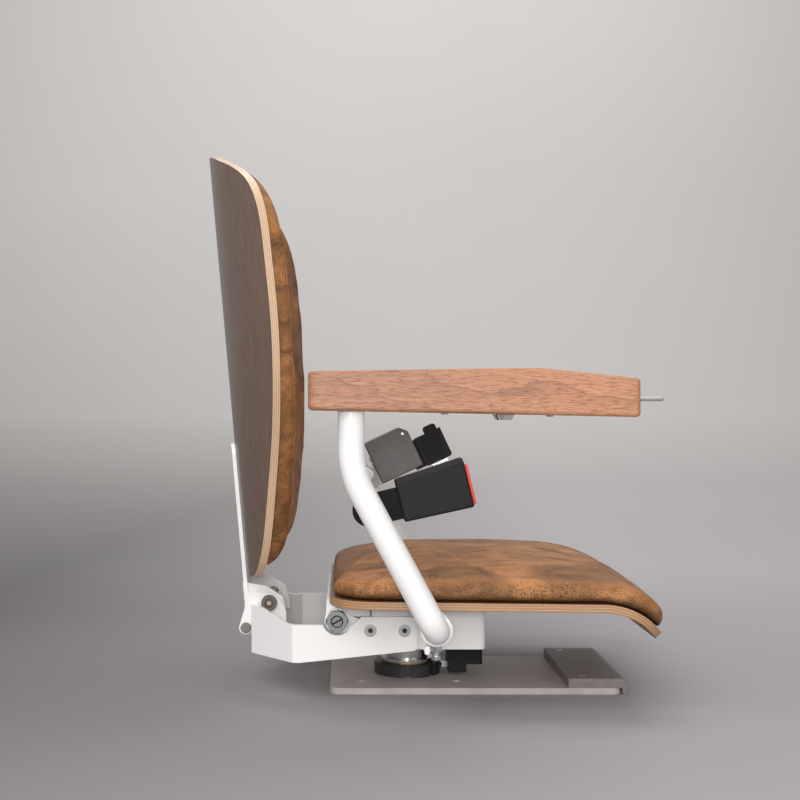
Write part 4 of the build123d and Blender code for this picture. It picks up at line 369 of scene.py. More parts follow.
def moulded(name, base, grain_scale, rough_low=0.42, rough_high=0.56, relief=0.35,
            level=0.5):
    """Moulded plastic with a fine spark-eroded texture."""
    board = Board(name)
    place = board.place()
    grain = board.cells(place, grain_scale)
    cloud = board.noise(place, 60, 4, 0.6)
    tint = board.blend(board.steps(cloud, 0.4, 0.8), base, shade(base, 1.5))
    rough = board.steps(cloud, 0.3, 0.7, rough_low, rough_high)
    normal = board.relief(grain, relief, 0.00025, board.soft_edge(MOULDED_EDGE))
    return board.finish(tint, rough, normal, level)


def gloss_plastic(name, base):
    board = Board(name)
    place = board.place()
    skin = board.noise(place, 260, 2, 0.5)
    tint = board.blend(board.steps(board.noise(place, 40, 3), 0.3, 0.7), base,
                       shade(base, 0.9))
    normal = board.relief(skin, 0.08, 0.0002, board.soft_edge(SATIN_EDGE))
    return board.finish(tint, board.steps(skin, 0.3, 0.7, 0.18, 0.26), normal,
                        coat_weight=0.4, coat_roughness=0.08)


def metal(name, base, stretch, rough_low, rough_high, relief=0.2, face=None, core=None):
    """Bare metal with fine machining lines along one direction.

    Below `face` it is darkened with painted shade, standing in for the shadow in sockets and
    slots; `core` is a round place with another colour, which round the hinge pins' ends is
    painted shade.
    """
    board = Board(name)
    lines = board.noise(board.place(stretch), 900, 3, 0.6)
    cloud = board.noise(board.place(), 45, 4, 0.6)
    tint = board.blend(board.steps(cloud, 0.3, 0.75), base, shade(base, 0.82))
    # painted shade: dark below the end faces, in sockets and slots
    if face:
        tint = board.blend(board.sunk(face), tint, shade(base, 0.10))
    # round place in another colour: painted shade round the hinge pins' ends, brass in the lock
    # pin's middle
    if core:
        middle, radius, other = core
        tint = board.blend(board.within(middle, radius), tint, other)
    rough = board.steps(lines, 0.25, 0.75, rough_low, rough_high)
    normal = board.relief(lines, relief, 0.00008, board.soft_edge(METAL_EDGE))
    return board.finish(tint, rough, normal, metallic=1.0)


def walnut(base, dark):
    """Oiled walnut, with its grain along X: growth lines, short pores and fine fibre."""
    board = Board("walnut")
    x, y, z = board.split(board.place())
    slow = board.noise(board.place((2.4, 9.0, 9.0)), 1.6, 3, 0.55)
    level = board.sum("ADD", board.sum("MULTIPLY", z, 34), board.sum("MULTIPLY", y, 11))
    level = board.sum("ADD", level, board.sum("MULTIPLY", x, 5.2))
    level = board.sum("ADD", level, board.sum("MULTIPLY", slow, 3.2))
    ring = board.sum("FRACT", level)
    line = board.steps(ring, 0.84, 1.0)
    line = board.sum("MULTIPLY", line, line)
    fibre = board.noise(board.place((9, 260, 260)), 6, 4, 0.7)
    streak = board.noise(board.place((3.5, 70, 70)), 4, 4, 0.65, 0.4)
    pore = board.noise(board.place((75, 950, 950)), 1.1, 2, 0.6)
    pores = board.steps(pore, 0.53, 0.63)
    wood = board.blend(board.steps(streak, 0.30, 0.70), shade(base, 1.25), shade(base, 0.74))
    wood = board.blend(board.steps(x, -0.02, 0.16, 0.0, 0.55), wood, shade(base, 1.50))
    wood = board.blend(board.steps(ring, 0.35, 1.0, 0.0, 0.30), wood, shade(dark, 1.7))
    wood = board.blend(board.sum("MULTIPLY", line, 0.45), wood, dark)
    wood = board.blend(board.steps(fibre, 0.44, 0.74, 0.0, 0.45), wood, shade(dark, 1.5))
    wood = board.blend(board.sum("MULTIPLY", pores, 0.70), wood, shade(dark, 0.8))
    height = board.sum("SUBTRACT", fibre, pores)
    normal = board.relief(height, 0.22, 0.00025, board.soft_edge(ARMREST_EDGE))
    return board.finish(wood, board.steps(fibre, 0.3, 0.7, 0.40, 0.54), normal, 0.4,
                        coat_weight=0.08, coat_roughness=0.30)


def plies(board, depth, thickness, count, light, dark, glue, along):
    """Cut edge of plywood: plies that differ in tone, with thin glue lines between them."""
    turn = board.sum("MULTIPLY", depth, count / thickness)
    wander = board.noise(board.place(), 45, 2)
    turn = board.sum("ADD", turn, board.steps(wander, 0.3, 0.7, -0.12, 0.12))
    across = board.sum("FRACT", turn)
    odd = board.sum("GREATER_THAN", board.sum("FRACT", board.sum("MULTIPLY", turn, 0.5)), 0.5)
    fibre = board.noise(board.place(along), 40, 4, 0.7)
    pale = board.blend(board.steps(fibre, 0.3, 0.7), light, shade(light, 0.82))
    end_grain = board.blend(board.steps(board.noise(board.place(), 900, 2), 0.35, 0.7),
                            dark, shade(dark, 0.72))
    edge = board.blend(odd, pale, end_grain)
    near = board.sum("MINIMUM", across, board.sum("SUBTRACT", 1.0, across))
    line = board.steps(near, 0.05, 0.16, 0.55, 0.0)
    return board.blend(line, edge, glue), fibre


def above_seat(board):
    """Height above the top face of the seat board, which bends down at its front."""
    x, _, z = board.split(board.place())
    across = board.sum("SUBTRACT", x, SEAT_BEND_X)
    up = board.sum("SUBTRACT", z, SEAT_BEND_Z)
    sine, cosine = math.sin(SEAT_BEND_TURN), math.cos(SEAT_BEND_TURN)
    sloped = board.sum("ADD", board.sum("MULTIPLY", across, sine),
                       board.sum("MULTIPLY", up, cosine))
    flat = board.sum("MAXIMUM", up, sloped)
    square = board.sum("ADD", board.sum("MULTIPLY", across, across),
                       board.sum("MULTIPLY", up, up))
    bent = board.sum("SQRT", square)
    beyond = board.sum("SUBTRACT", board.sum("MULTIPLY", across, cosine),
                       board.sum("MULTIPLY", up, sine))
    in_bend = board.sum("MULTIPLY", board.sum("GREATER_THAN", across, 0.0),
                        board.sum("LESS_THAN", beyond, 0.0))
    radius = board.sum("ADD", board.sum("MULTIPLY", bent, in_bend),
                       board.sum("MULTIPLY", flat, board.sum("SUBTRACT", 1.0, in_bend)))
    return board.sum("SUBTRACT", radius, SEAT_BEND_RADIUS)


def seat_board(base, veneer):
    """Bent seat board: plies follow the bend at its front edge."""
    board = Board("seat_board")
    depth = board.sum("MULTIPLY", above_seat(board), -1.0)
    edge, fibre = plies(board, depth, SEAT_PLY, 6, base, shade(base, 0.74),
                        shade(base, 0.42), (2, 30, 30))
    stain = board.noise(board.place((9, 9, 40)), 2.2, 4, 0.6)
    edge = board.blend(board.steps(stain, 0.48, 0.74, 0.0, 0.45), edge, shade(base, 0.45))
    face = board.blend(board.steps(board.noise(board.place((3, 40, 40)), 8, 5, 0.6), 0.3, 0.7),
                       shade(veneer, 0.55), shade(veneer, 0.36))
    skin = board.sum("MAXIMUM", board.sum("LESS_THAN", depth, VENEER),
                     board.sum("GREATER_THAN", depth, SEAT_PLY - VENEER))
    wood = board.blend(skin, edge, face)
    normal = board.relief(fibre, 0.18, 0.0002, board.soft_edge(BOARD_EDGE))
    return board.finish(wood, board.steps(fibre, 0.3, 0.7, 0.36, 0.50), normal,
                        coat_weight=0.2, coat_roughness=0.3)


def back_board(base, veneer):
    """Curved back board: pale plies at its edge and a dark veneer on its rear face."""
    board = Board("back_board")
    place = board.place(turn=(0, -BACK_LEAN, 0), shift=tuple(BACK_PIVOT))
    x, y, _ = board.split(place)
    across = board.sum("SUBTRACT", x, SHELL_AXIS_X)
    square = board.sum("ADD", board.sum("MULTIPLY", across, across),
                       board.sum("MULTIPLY", y, y))
    depth = board.sum("SUBTRACT", SHELL_REAR_RADIUS, board.sum("SQRT", square))
    edge, fibre = plies(board, depth, BACK_PLY, 7, base, shade(base, 0.86),
                        shade(base, 0.62), (30, 30, 3))
    grain = board.noise(board.place((60, 60, 2.6)), 5, 5, 0.65, 0.3)
    rays = board.noise(board.place((700, 700, 30)), 1.6, 3, 0.6)
    face = board.blend(board.steps(grain, 0.30, 0.70), veneer, shade(veneer, 0.55))
    face = board.blend(board.steps(rays, 0.5, 0.75, 0.0, 0.5), face, shade(veneer, 0.40))
    wood = board.blend(board.sum("LESS_THAN", depth, VENEER), edge, face)
    normal = board.relief(fibre, 0.15, 0.0002, board.soft_edge(SATIN_EDGE))
    return board.finish(wood, board.steps(fibre, 0.3, 0.7, 0.30, 0.44), normal,
                        coat_weight=0.25, coat_roughness=0.25)


def leather(name, light, dark, on_seat):
    """Waxed leather with pale pulled-up areas, dark clouds, dark specks and a fine grain, and on
    the seat a painted shadow along the lower rim.
    """
    board = Board(name)
    place = board.place()
    drift = board.noise(board.place((7, 9, 10)), 1.1, 3, 0.55, 0.8)
    cloud = board.noise(board.place((15, 19, 24)), 1.5, 5, 0.62, 0.7)
    gate = board.noise(place, 30, 4, 0.6)
    speck = board.noise(place, 800, 2, 0.55)
    grain = board.cells(place, 700, "DISTANCE_TO_EDGE")
    pebble = board.cells(place, 380)
    hide = board.blend(board.steps(drift, 0.34, 0.60), light, shade(light, 0.56))
    hide = board.blend(board.steps(cloud, 0.44, 0.66, 0.0, 0.78), hide, dark)
    low = 0.45
    if on_seat:
        height = above_seat(board)
        low = board.steps(height, *SPECKLED, 1.0, 0.15)
    density = board.sum("ADD", board.steps(gate, 0.34, 0.64, 0.0, 0.5), low)
    least = board.steps(density, 0.0, 1.4, 0.67, 0.46)
    specks = board.sum("MULTIPLY", board.sum("SUBTRACT", speck, least), 14.0)
    specks = board.steps(specks, 0.0, 1.0, 0.0, 0.78)
    hide = board.blend(specks, hide, shade(dark, 0.30))
    fold = board.steps(grain, 0.0, 0.10, 0.22, 0.0)
    hide = board.blend(fold, hide, shade(dark, 0.7))
    if on_seat:
        # painted shadow along the lower rim, where the leather meets the board
        rim = board.sum("ADD", height, board.steps(gate, 0.3, 0.7, -0.0015, 0.0015))
        hide = board.blend(board.steps(rim, *RIM_SHADOW, 0.88, 0.0), hide, shade(dark, 0.22))
    relief = board.sum("ADD", board.steps(grain, 0.0, 0.16), board.sum("MULTIPLY", pebble, 0.5))
    relief = board.sum("ADD", relief, board.noise(place, 46, 4))
    normal = board.relief(relief, 0.26, 0.0005)
    return board.finish(hide, board.steps(cloud, 0.3, 0.75, 0.46, 0.60), normal, 0.30)


def webbing(base):
    """Belt webbing: fine chevron weave, square to the belt."""
    board = Board("belt_weave")
    place = board.place(turn=(0, -REEL_TURN, 0), shift=REEL_AT)
    x, _, z = board.split(place)
    rib = board.bands(place, 180, axis="Z")
    slope = board.sum("PINGPONG", z, 0.006)
    weft = board.sum("SINE", board.sum("MULTIPLY", board.sum("ADD", x, slope), 5200))
    height = board.sum("ADD", rib, board.sum("MULTIPLY", weft, 0.5))
    tint = board.blend(board.steps(weft, -0.6, 0.8), base, shade(base, 2.2))
    normal = board.relief(height, 0.5, 0.0004)
    return board.finish(tint, board.steps(rib, 0.0, 1.0, 0.75, 0.9), normal,
                        sheen_weight=0.2, sheen_roughness=0.4)


def studio_grey(colours):
    """Floor and wall, with painted light and shade: darker at the left of the floor and in
    front, paler with distance and height.
    """
    board = Board("studio_grey")
    x, y, z = board.split(board.place())
    side = board.sum("SUBTRACT", x, board.sum("MULTIPLY", y, SIDE_BY_DISTANCE))
    # painted shade: the floor darker towards the left
    ground = board.blend(board.steps(side, *FLOOR_SIDES), colours.floor, colours.floor_far)
    rise = board.sum("ADD", board.sum("MULTIPLY", y, RISE_BY_DISTANCE), z)
    # painted light and shade on the wall: darker low down, paler at the top, both more so
    # towards the left
    left = board.steps(side, *WALL_SIDES, 1.0, 0.0)
    low_wall = board.blend(left, shade(colours.backdrop, 0.93), shade(colours.backdrop, 0.84))
    high_wall = board.blend(left, shade(colours.backdrop, 1.02), shade(colours.backdrop, 1.20))
    # painted shade on the floor in front, fading out as the rise grows
    near = board.steps(rise, *FLOOR_NEAR, 0.74, 1.0)
    ground = board.blend(near, shade(colours.floor, 0.6), ground)
    grey = board.blend(board.steps(rise, *RISE_TO_WALL), ground, low_wall)
    grey = board.blend(board.steps(rise, *RISE_TO_TOP), grey, high_wall)
    grain = board.noise(board.place(), 3, 2)
    grey = board.blend(board.steps(grain, 0.3, 0.7, 0.0, 0.02), grey,
                       shade(colours.floor_far, 0.8))
    return board.finish(grey, 0.9)


# ------------------------------------------------------------------ mesh helpers
def select_only(*objects):
    bpy.ops.object.select_all(action="DESELECT")
    for piece in objects:
        piece.select_set(True)
    bpy.context.view_layer.objects.active = objects[0]


def settle(piece):
    """Puts a piece's place into its mesh and leaves its object at the origin."""
    select_only(piece)
    bpy.ops.object.transform_apply(location=True, rotation=True, scale=True)


def apply_modifier(piece, modifier):
    select_only(piece)
    bpy.ops.object.modifier_apply(modifier=modifier.name)


def dress(piece, body, material):
    piece.data.materials.clear()
    piece.data.materials.append(material)
    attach(piece, body)


def paint_nodes(material, *nodes):
    """Gives CAD nodes a finish, through the material slots of their objects."""
    for name in nodes:
        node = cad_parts[name]
        for place in node.material_slots:
            place.link = "OBJECT"
            place.material = material


def open_pad(node, name, sizes):
    """A copy of a cushion's solid, merged, drawn in a little and remeshed."""
    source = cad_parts[node]
    pad = bpy.data.objects.new(name, source.data.copy())
    bpy.context.scene.collection.objects.link(pad)
    pad.matrix_world = source.matrix_world
    settle(pad)
    bpy.ops.object.mode_set(mode="EDIT")
    bpy.ops.mesh.select_all(action="SELECT")
    bpy.ops.mesh.remove_doubles(threshold=0.00002)
    bpy.ops.mesh.normals_make_consistent(inside=False)
    bpy.ops.object.mode_set(mode="OBJECT")
    remesh = pad.modifiers.new("Remesh", "REMESH")
    remesh.mode = "VOXEL"
    remesh.voxel_size = sizes.voxel
    apply_modifier(pad, remesh)
    smooth = pad.modifiers.new("Smooth", "SMOOTH")
    smooth.factor = 0.5
    smooth.iterations = 8
    apply_modifier(pad, smooth)
    return pad


def swell(pad, resting, sizes, cap, pressure):
    """Swells the leather with cloth, held where it rests, and caps how far a point moves.

    resting says, for a point in the row frame, how firmly it is held, from 0 to 1.
    """
    mesh = pad.data
    start = [vertex.co.copy() for vertex in mesh.vertices]
    normals = [vertex.normal.copy() for vertex in mesh.vertices]
    hold = [resting(point, normal) for point, normal in zip(start, normals)]
    for vertex, point, normal, held in zip(mesh.vertices, start, normals, hold):
        vertex.co = point - normal * sizes.slack * (1 - held)
    group = pad.vertex_groups.new(name="held")
    for index, held in enumerate(hold):
        if held > 0.01:
            group.add([index], held, "REPLACE")
    cloth = pad.modifiers.new("Cloth", "CLOTH")
    cloth.settings.quality = 5
    cloth.settings.mass = 0.25
    cloth.settings.tension_stiffness = 12
    cloth.settings.compression_stiffness = 12
    cloth.settings.shear_stiffness = 6
    cloth.settings.bending_stiffness = 1.5
    cloth.settings.use_pressure = True
    cloth.settings.uniform_pressure_force = pressure
    cloth.settings.effector_weights.gravity = 0
    cloth.settings.vertex_group_mass = group.name
    cloth.point_cache.frame_start = 1
    cloth.point_cache.frame_end = sizes.frames
    for step in range(1, sizes.frames + 1):
        bpy.context.scene.frame_set(step)
    apply_modifier(pad, cloth)
    bpy.context.scene.frame_set(1)
    pad.vertex_groups.clear()
    for vertex, point, held in zip(pad.data.vertices, start, hold):
        move = vertex.co - point
        waves = (1 - CAP_MEAN) * noise.noise(point * CAP_WAVES)
        most = cap * (1 - held) * (CAP_MEAN + waves)
        if move.length > most:
            vertex.co = point + move.normalized() * most
    relax = pad.modifiers.new("Relax", "SMOOTH")
    relax.factor = 0.4
    relax.iterations = 3
    apply_modifier(pad, relax)
    finer = pad.modifiers.new("Finer", "SUBSURF")
    finer.levels = 1
    finer.render_levels = 1
    apply_modifier(pad, finer)
    select_only(pad)
    bpy.ops.object.shade_smooth()
    return pad


def ramp(value, low, high):
    share = min(max((value - low) / (high - low), 0.0), 1.0)
    return share * share * (3 - 2 * share)


def seat_hold(point, normal):
    """The seat cushion is held where its underside lies on the board."""
    return ramp(-normal.z, *SEAT_HELD)


def back_hold(point, normal):
    """The back cushion is held where its rear lies on the shell."""
    local = WORLD_TO_BACK @ point
    radius = math.hypot(local.x - SHELL_AXIS_X, local.y)
    return ramp(radius, *BACK_HELD)


# ------------------------------------------------------------------ operators
class CHAIR_OT_seat_cushion(bpy.types.Operator):
    """Seat cushion: one piece of leather over foam, drawn in at the board"""

    bl_idname = "chair.seat_cushion"
    bl_label = "Seat cushion"

    def execute(self, context):
        sizes, colours = context.scene.chair_sizes, context.scene.chair_colours
        pad = open_pad("seat_cushion", "seat_pad", sizes)
        swell(pad, seat_hold, sizes, sizes.seat_swell, CLOTH_PRESSURE)
        hide = leather("seat_leather", colours.hide, colours.hide_dark, True)
        dress(pad, SEAT_BODY, hide)
        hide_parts("seat_cushion")
        return {"FINISHED"}


class CHAIR_OT_back_cushion(bpy.types.Operator):
    """Back cushion: front panel and side band of leather, joined by a piped seam"""

    bl_idname = "chair.back_cushion"
    bl_label = "Back cushion"

    def execute(self, context):
        sizes, colours = context.scene.chair_sizes, context.scene.chair_colours
        pad = open_pad("back_cushion", "back_pad", sizes)
        swell(pad, back_hold, sizes, sizes.back_swell, CLOTH_PRESSURE)
        hide = leather("back_leather", colours.hide, colours.hide_dark, False)
        dress(pad, BACK_BODY, hide)
        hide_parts("back_cushion")
        welt = self.welt(pad, sizes)
        dress(welt, BACK_BODY, hide)
        return {"FINISHED"}

    def find_seam(self, pad):
        """Points where the leather turns from the side band to the front panel."""
        local = [WORLD_TO_BACK @ vertex.co for vertex in pad.data.vertices]
        axis = Vector((SHELL_AXIS_X, 0, 0))
        middle = (min(p.z for p in local) + max(p.z for p in local)) / 2
        tree = BVHTree.FromPolygons([tuple(p) for p in local],
                                    [tuple(face.vertices) for face in pad.data.polygons])

        def look(distance, angle):
            """What a ray from the shell's axis meets, and the direction it came from."""
            turn = distance * math.cos(angle) / SHELL_REAR_RADIUS
            forward = Vector((math.cos(turn), -math.sin(turn), 0))
            start = axis + Vector((0, 0, middle + distance * math.sin(angle)))
            spot, normal = tree.ray_cast(start, -forward)[:2]
            return spot, normal, forward

        angles = [number * 2 * math.pi / WELT_POINTS for number in range(WELT_POINTS)]
        reach = []
        for angle in angles:
            distance = WELT_START
            while distance > WELT_END:
                spot, normal, forward = look(distance, angle)
                if spot is not None and normal.dot(forward) > WELT_FACING:
                    break
                distance -= WELT_STEP
            reach.append(distance)
        spots = []
        for number, angle in enumerate(angles):
            near = [reach[(number + step) % WELT_POINTS]
                    for step in range(-WELT_SPREAD, WELT_SPREAD + 1)]
            spot = look(sum(near) / len(near), angle)[0]
            if spot is None:
                raise RuntimeError("the piping misses the back cushion")
            spots.append(spot)
        return spots

    def welt(self, pad, sizes):
        """Piping laid along the seam between the side band and the front panel."""
        spots = self.find_seam(pad)
        curve = bpy.data.curves.new("back_welt", "CURVE")
        curve.dimensions = "3D"
        curve.bevel_depth = sizes.welt
        curve.bevel_resolution = 3
        spline = curve.splines.new("NURBS")
        spline.points.add(WELT_POINTS - 1)
        for spot, target in zip(spots, spline.points):
            target.co = (*(BACK_TO_WORLD @ spot), 1.0)
        spline.use_cyclic_u = True
        spline.order_u = 4
        welt = bpy.data.objects.new("back_welt", curve)
        bpy.context.scene.collection.objects.link(welt)
        select_only(welt)
        bpy.ops.object.convert(target="MESH")
        bpy.ops.object.shade_smooth()
        return welt


class CHAIR_OT_reel_screw(bpy.types.Operator):
    """Cross-head screw at the corner of the belt reel's cover"""

    bl_idname = "chair.reel_screw"
    bl_label = "Reel screw"

    def execute(self, context):
        outer_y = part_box("retractor_cover")[0][1]
        place = REEL_PLACE @ REEL_SCREW_AT
        bpy.ops.object.select_all(action="DESELECT")
        bpy.ops.mesh.primitive_cylinder_add(
            vertices=32, radius=REEL_SCREW_RADIUS, depth=REEL_SCREW_HIGH,
            location=(place.x, outer_y, place.z), rotation=(math.pi / 2, 0, 0))
        screw = context.object
        screw.name = "reel_screw"
        settle(screw)
        bpy.ops.object.mode_set(mode="EDIT")
        bpy.ops.mesh.select_all(action="SELECT")
        bpy.ops.mesh.bevel(offset=REEL_SCREW_ROUND, segments=3, affect="EDGES")
        bpy.ops.object.mode_set(mode="OBJECT")
        for turn in (math.pi / 4, -math.pi / 4):
            bpy.ops.object.select_all(action="DESELECT")
            bpy.ops.mesh.primitive_cube_add(
                size=1, location=(place.x, outer_y - REEL_SCREW_HIGH / 2, place.z),
                rotation=(0, turn, 0), scale=REEL_SCREW_CROSS)
            cutter = context.object
            cut = screw.modifiers.new("Cross", "BOOLEAN")
            cut.operation = "DIFFERENCE"
            cut.solver = "EXACT"
            cut.object = cutter
            apply_modifier(screw, cut)
            bpy.data.objects.remove(cutter)
        select_only(screw)
        bpy.ops.object.shade_smooth_by_angle(angle=math.radians(35))
        steel = metal("screw_zinc", (0.72, 0.73, 0.75), (1, 1, 1), 0.22, 0.38)
        dress(screw, ARM_BODY, steel)
        return {"FINISHED"}


class CHAIR_OT_paint(bpy.types.Operator):
    """White powder coat of the frame, and the paint of the base"""

    bl_idname = "chair.paint"
    bl_label = "Paint"

    def execute(self, context):
        colours = context.scene.chair_colours
        paint_nodes(powder_coat(colours.paint), "main_box", "rear_frame", "arm_bosses",
                    "tilt_cheeks", "back_bracket", "seat_bracket", "arm_tube_right",
                    "arm_tube_left", "arm_plate_right", "arm_plate_left")
        paint_nodes(dark_paint("base_paint", colours.base, 0.45, 0.62), "base_plate")
        paint_nodes(dark_paint("index_paint", (0.022, 0.022, 0.021), 0.30, 0.45), "index_ring")
        return {"FINISHED"}


class CHAIR_OT_metals(bpy.types.Operator):
    """Bare and plated metal: hub, pins, screws, nuts and belt parts"""

    bl_idname = "chair.metals"
    bl_label = "Metals"

    def execute(self, context):
        turned = metal("turned_steel", (0.62, 0.615, 0.60), (1, 1, 14), 0.16, 0.30)
        zinc = metal("zinc_plate", (0.40, 0.405, 0.40), (1, 1, 1), 0.24, 0.42)
        bolt = metal("bright_zinc", (0.66, 0.68, 0.70), (1, 1, 1), 0.14, 0.30)
        blade = metal("pressed_steel", (0.66, 0.66, 0.66), (1, 30, 30), 0.20, 0.36)
        chrome = metal("chrome", (0.82, 0.82, 0.82), (1, 1, 1), 0.05, 0.12, 0.05)
        bronze = metal("bronze", (0.62, 0.45, 0.24), (1, 1, 14), 0.28, 0.45)
        bright = metal("bright_plate", (0.62, 0.63, 0.64), (1, 1, 1), 0.08, 0.18, 0.03)
        # painted shade in the frame screws' sockets
        socket = metal("socket_zinc", (0.46, 0.465, 0.46), (1, 1, 1), 0.24, 0.42,
                       face=FRAME_SCREW_FACE)
        # painted shade in the slot of each pin's end
        hinge_pin = metal("hinge_pin", (0.34, 0.345, 0.34), (1, 1, 1), 0.24, 0.40,
                          face=HINGE_PIN_FACE)
        # painted shade round the pin's end, in the nut's hole
        hinge_nut = metal("hinge_nut", (0.36, 0.365, 0.36), (1, 1, 1), 0.22, 0.40,
                          core=(HINGE_PIN_AT, HINGE_SHADE, (0.04, 0.04, 0.04)))
        lock_pin = metal("lock_pin", (0.10, 0.092, 0.082), (1, 1, 1), 0.28, 0.45,
                         core=(LOCK_PIN_AT, LOCK_CORE, (0.46, 0.34, 0.20)))
        paint_nodes(turned, "swivel_hub", "arm_pivot_shafts", "swivel_lever", "swivel_pawl",
                    "tilt_rod", "key_switch_barrel", "joystick_pin")
        paint_nodes(zinc, "base_screws", "hub_screws", "spindle_screw", "back_screws",
                    "seat_screws", "arm_screws_right", "arm_screws_left", "buckle_bolt")
        paint_nodes(socket, "rear_frame_screws")
        paint_nodes(hinge_pin, "seat_hinge_pins")
        paint_nodes(hinge_nut, "seat_hinge_nuts")
        paint_nodes(lock_pin, "tilt_lock_pin")
        paint_nodes(bolt, "arm_stop_bolt_right", "arm_stop_bolt_left", "panel_screws")
        paint_nodes(blade, "belt_tongue")
        paint_nodes(chrome, "key_switch_body", "joystick_switch")
        paint_nodes(bronze, "swivel_bush")
        paint_nodes(bright, "retractor_bracket")
        return {"FINISHED"}


class CHAIR_OT_plastics(bpy.types.Operator):
    """Moulded and rubber parts: buckle, belt reel, covers, knob, caps and buffers"""

    bl_idname = "chair.plastics"
    bl_label = "Plastics"

    def execute(self, context):
        colours = context.scene.chair_colours
        black = moulded("black_moulding", colours.black, 1100, level=0.16)
        paint_nodes(black, "latch_housing", "swivel_knob", "armrest_panel", "buckle_cover",
                    "belt_grip")
        paint_nodes(moulded("stalk_moulding", shade(colours.black, 0.35), 1300, 0.5, 0.65,
                            level=0.15), "buckle_stalk")
        paint_nodes(moulded("reel_moulding", colours.reel, 1500, 0.26, 0.40, 0.15),
                    "retractor_cover")
        paint_nodes(moulded("cap_moulding", (0.150, 0.145, 0.135), 1300), "tilt_rod_caps")
        paint_nodes(moulded("ring_moulding", (0.115, 0.105, 0.092), 1300), "tilt_lock_rings")
        paint_nodes(moulded("nose_moulding", colours.nose, 900, 0.45, 0.6), "nose_cover")
        paint_nodes(moulded("rubber", (0.018, 0.018, 0.018), 700, 0.7, 0.85), "seat_buffers")
        paint_nodes(gloss_plastic("red_button", colours.red), "buckle_button")
        paint_nodes(gloss_plastic("white_cap", (0.80, 0.79, 0.77)), "retractor_bolt")
        weave = webbing((0.016, 0.016, 0.017))
        paint_nodes(weave, "belt_webbing", "retractor_spool")
        return {"FINISHED"}


class CHAIR_OT_woods(bpy.types.Operator):
    """Walnut armrests and the plywood of seat and back"""

    bl_idname = "chair.woods"
    bl_label = "Woods"

    def execute(self, context):
        colours = context.scene.chair_colours
        paint_nodes(walnut(colours.walnut, colours.walnut_dark), "armrest_right", "armrest_left")
        paint_nodes(seat_board(colours.seat_ply, colours.walnut), "seat_shell")
        paint_nodes(back_board(colours.back_ply, colours.veneer), "back_shell")
        return {"FINISHED"}


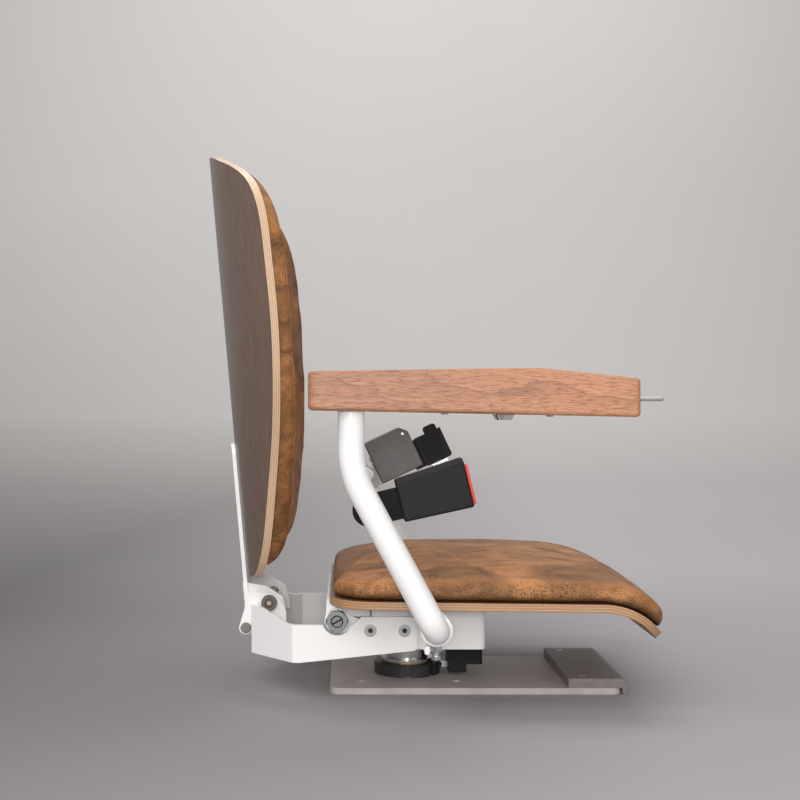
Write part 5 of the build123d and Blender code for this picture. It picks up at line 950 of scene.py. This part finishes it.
class CHAIR_OT_stage(bpy.types.Operator):
    """Pale floor and backdrop, soft studio lights and the camera"""

    bl_idname = "chair.stage"
    bl_label = "Stage"

    def execute(self, context):
        colours = context.scene.chair_colours
        self.floor(colours)
        self.lights(context)
        self.camera(context)
        context.scene.view_settings.view_transform = "Standard"
        return {"FINISHED"}

    def floor(self, colours):
        """One sweep: floor, a large bend, and a wall, whose material paints light and shade: the
        wall paler towards its top, the floor darker at its left.
        """
        bpy.ops.object.select_all(action="DESELECT")
        bpy.ops.mesh.primitive_plane_add(size=1, location=(0, SWEEP_MIDDLE_Y, FLOOR_LEVEL))
        floor = bpy.context.object
        floor.name = "studio_sweep"
        floor.scale = SWEEP_SIZE
        settle(floor)
        bpy.ops.object.mode_set(mode="EDIT")
        bpy.ops.mesh.select_all(action="DESELECT")
        bpy.ops.object.mode_set(mode="OBJECT")
        for edge in floor.data.edges:
            ends = [floor.data.vertices[index].co.y for index in edge.vertices]
            edge.select = min(ends) > SWEEP_FAR_EDGE
        bpy.ops.object.mode_set(mode="EDIT")
        side = 2 * SWEEP_RADIUS * math.sin(math.pi / 4 / SWEEP_STEPS)
        for number in range(SWEEP_STEPS):
            angle = (number + 0.5) * math.pi / 2 / SWEEP_STEPS
            bpy.ops.mesh.extrude_region_move(TRANSFORM_OT_translate={
                "value": (0, side * math.cos(angle), side * math.sin(angle))})
        bpy.ops.mesh.extrude_region_move(TRANSFORM_OT_translate={"value": (0, 0, SWEEP_WALL)})
        bpy.ops.object.mode_set(mode="OBJECT")
        bpy.ops.object.shade_smooth()
        floor.data.materials.append(studio_grey(colours))

    def lamp(self, context, name, place, aim, size, watts):
        data = bpy.data.lights.new(name, "AREA")
        data.shape = "RECTANGLE"
        data.size, data.size_y = size
        data.energy = watts
        lamp = bpy.data.objects.new(name, data)
        lamp.location = place
        lamp.rotation_euler = (Vector(aim) - Vector(place)).to_track_quat("-Z", "Y").to_euler()
        context.scene.collection.objects.link(lamp)

    def lights(self, context):
        for lamp in LAMPS:
            self.lamp(context, *lamp)
        world = bpy.data.worlds.new("studio_air")
        world.use_nodes = True
        sky = world.node_tree.nodes["Background"]
        sky.inputs["Color"].default_value = SKY_COLOUR
        sky.inputs["Strength"].default_value = SKY_STRENGTH
        context.scene.world = world

    def camera(self, context):
        data = bpy.data.cameras.new("photo_camera")
        data.sensor_width = CAMERA_SENSOR
        data.lens = CAMERA_LENS
        data.shift_x = CAMERA_SHIFT
        data.clip_end = CAMERA_REACH
        camera = bpy.data.objects.new("photo_camera", data)
        camera.location = CAMERA_AT
        camera.rotation_euler = (math.pi / 2, 0, 0)
        context.scene.collection.objects.link(camera)
        context.scene.camera = camera


STEPS = (CHAIR_OT_seat_cushion, CHAIR_OT_back_cushion, CHAIR_OT_reel_screw, CHAIR_OT_paint,
         CHAIR_OT_metals, CHAIR_OT_plastics, CHAIR_OT_woods, CHAIR_OT_stage)


class CHAIR_PT_panel(bpy.types.Panel):
    """Lists the steps that dress the chair"""

    bl_idname = "CHAIR_PT_panel"
    bl_label = "Stairlift chair"
    bl_space_type = "VIEW_3D"
    bl_region_type = "UI"
    bl_category = "Chair"

    def draw(self, context):
        for step in STEPS:
            self.layout.operator(step.bl_idname)
        for group in (context.scene.chair_sizes, context.scene.chair_colours):
            box = self.layout.box()
            for name in group.__annotations__:
                box.prop(group, name)


CLASSES = (ChairSizes, ChairColours, *STEPS, CHAIR_PT_panel)


def register():
    for entry in CLASSES:
        bpy.utils.register_class(entry)
    bpy.types.Scene.chair_sizes = PointerProperty(type=ChairSizes)
    bpy.types.Scene.chair_colours = PointerProperty(type=ChairColours)


def unregister():
    del bpy.types.Scene.chair_colours
    del bpy.types.Scene.chair_sizes
    for entry in reversed(CLASSES):
        bpy.utils.unregister_class(entry)


def main():
    register()
    bpy.ops.chair.seat_cushion()
    bpy.ops.chair.back_cushion()
    bpy.ops.chair.reel_screw()
    bpy.ops.chair.paint()
    bpy.ops.chair.metals()
    bpy.ops.chair.plastics()
    bpy.ops.chair.woods()
    bpy.ops.chair.stage()


if __name__ == "__main__":
    main()
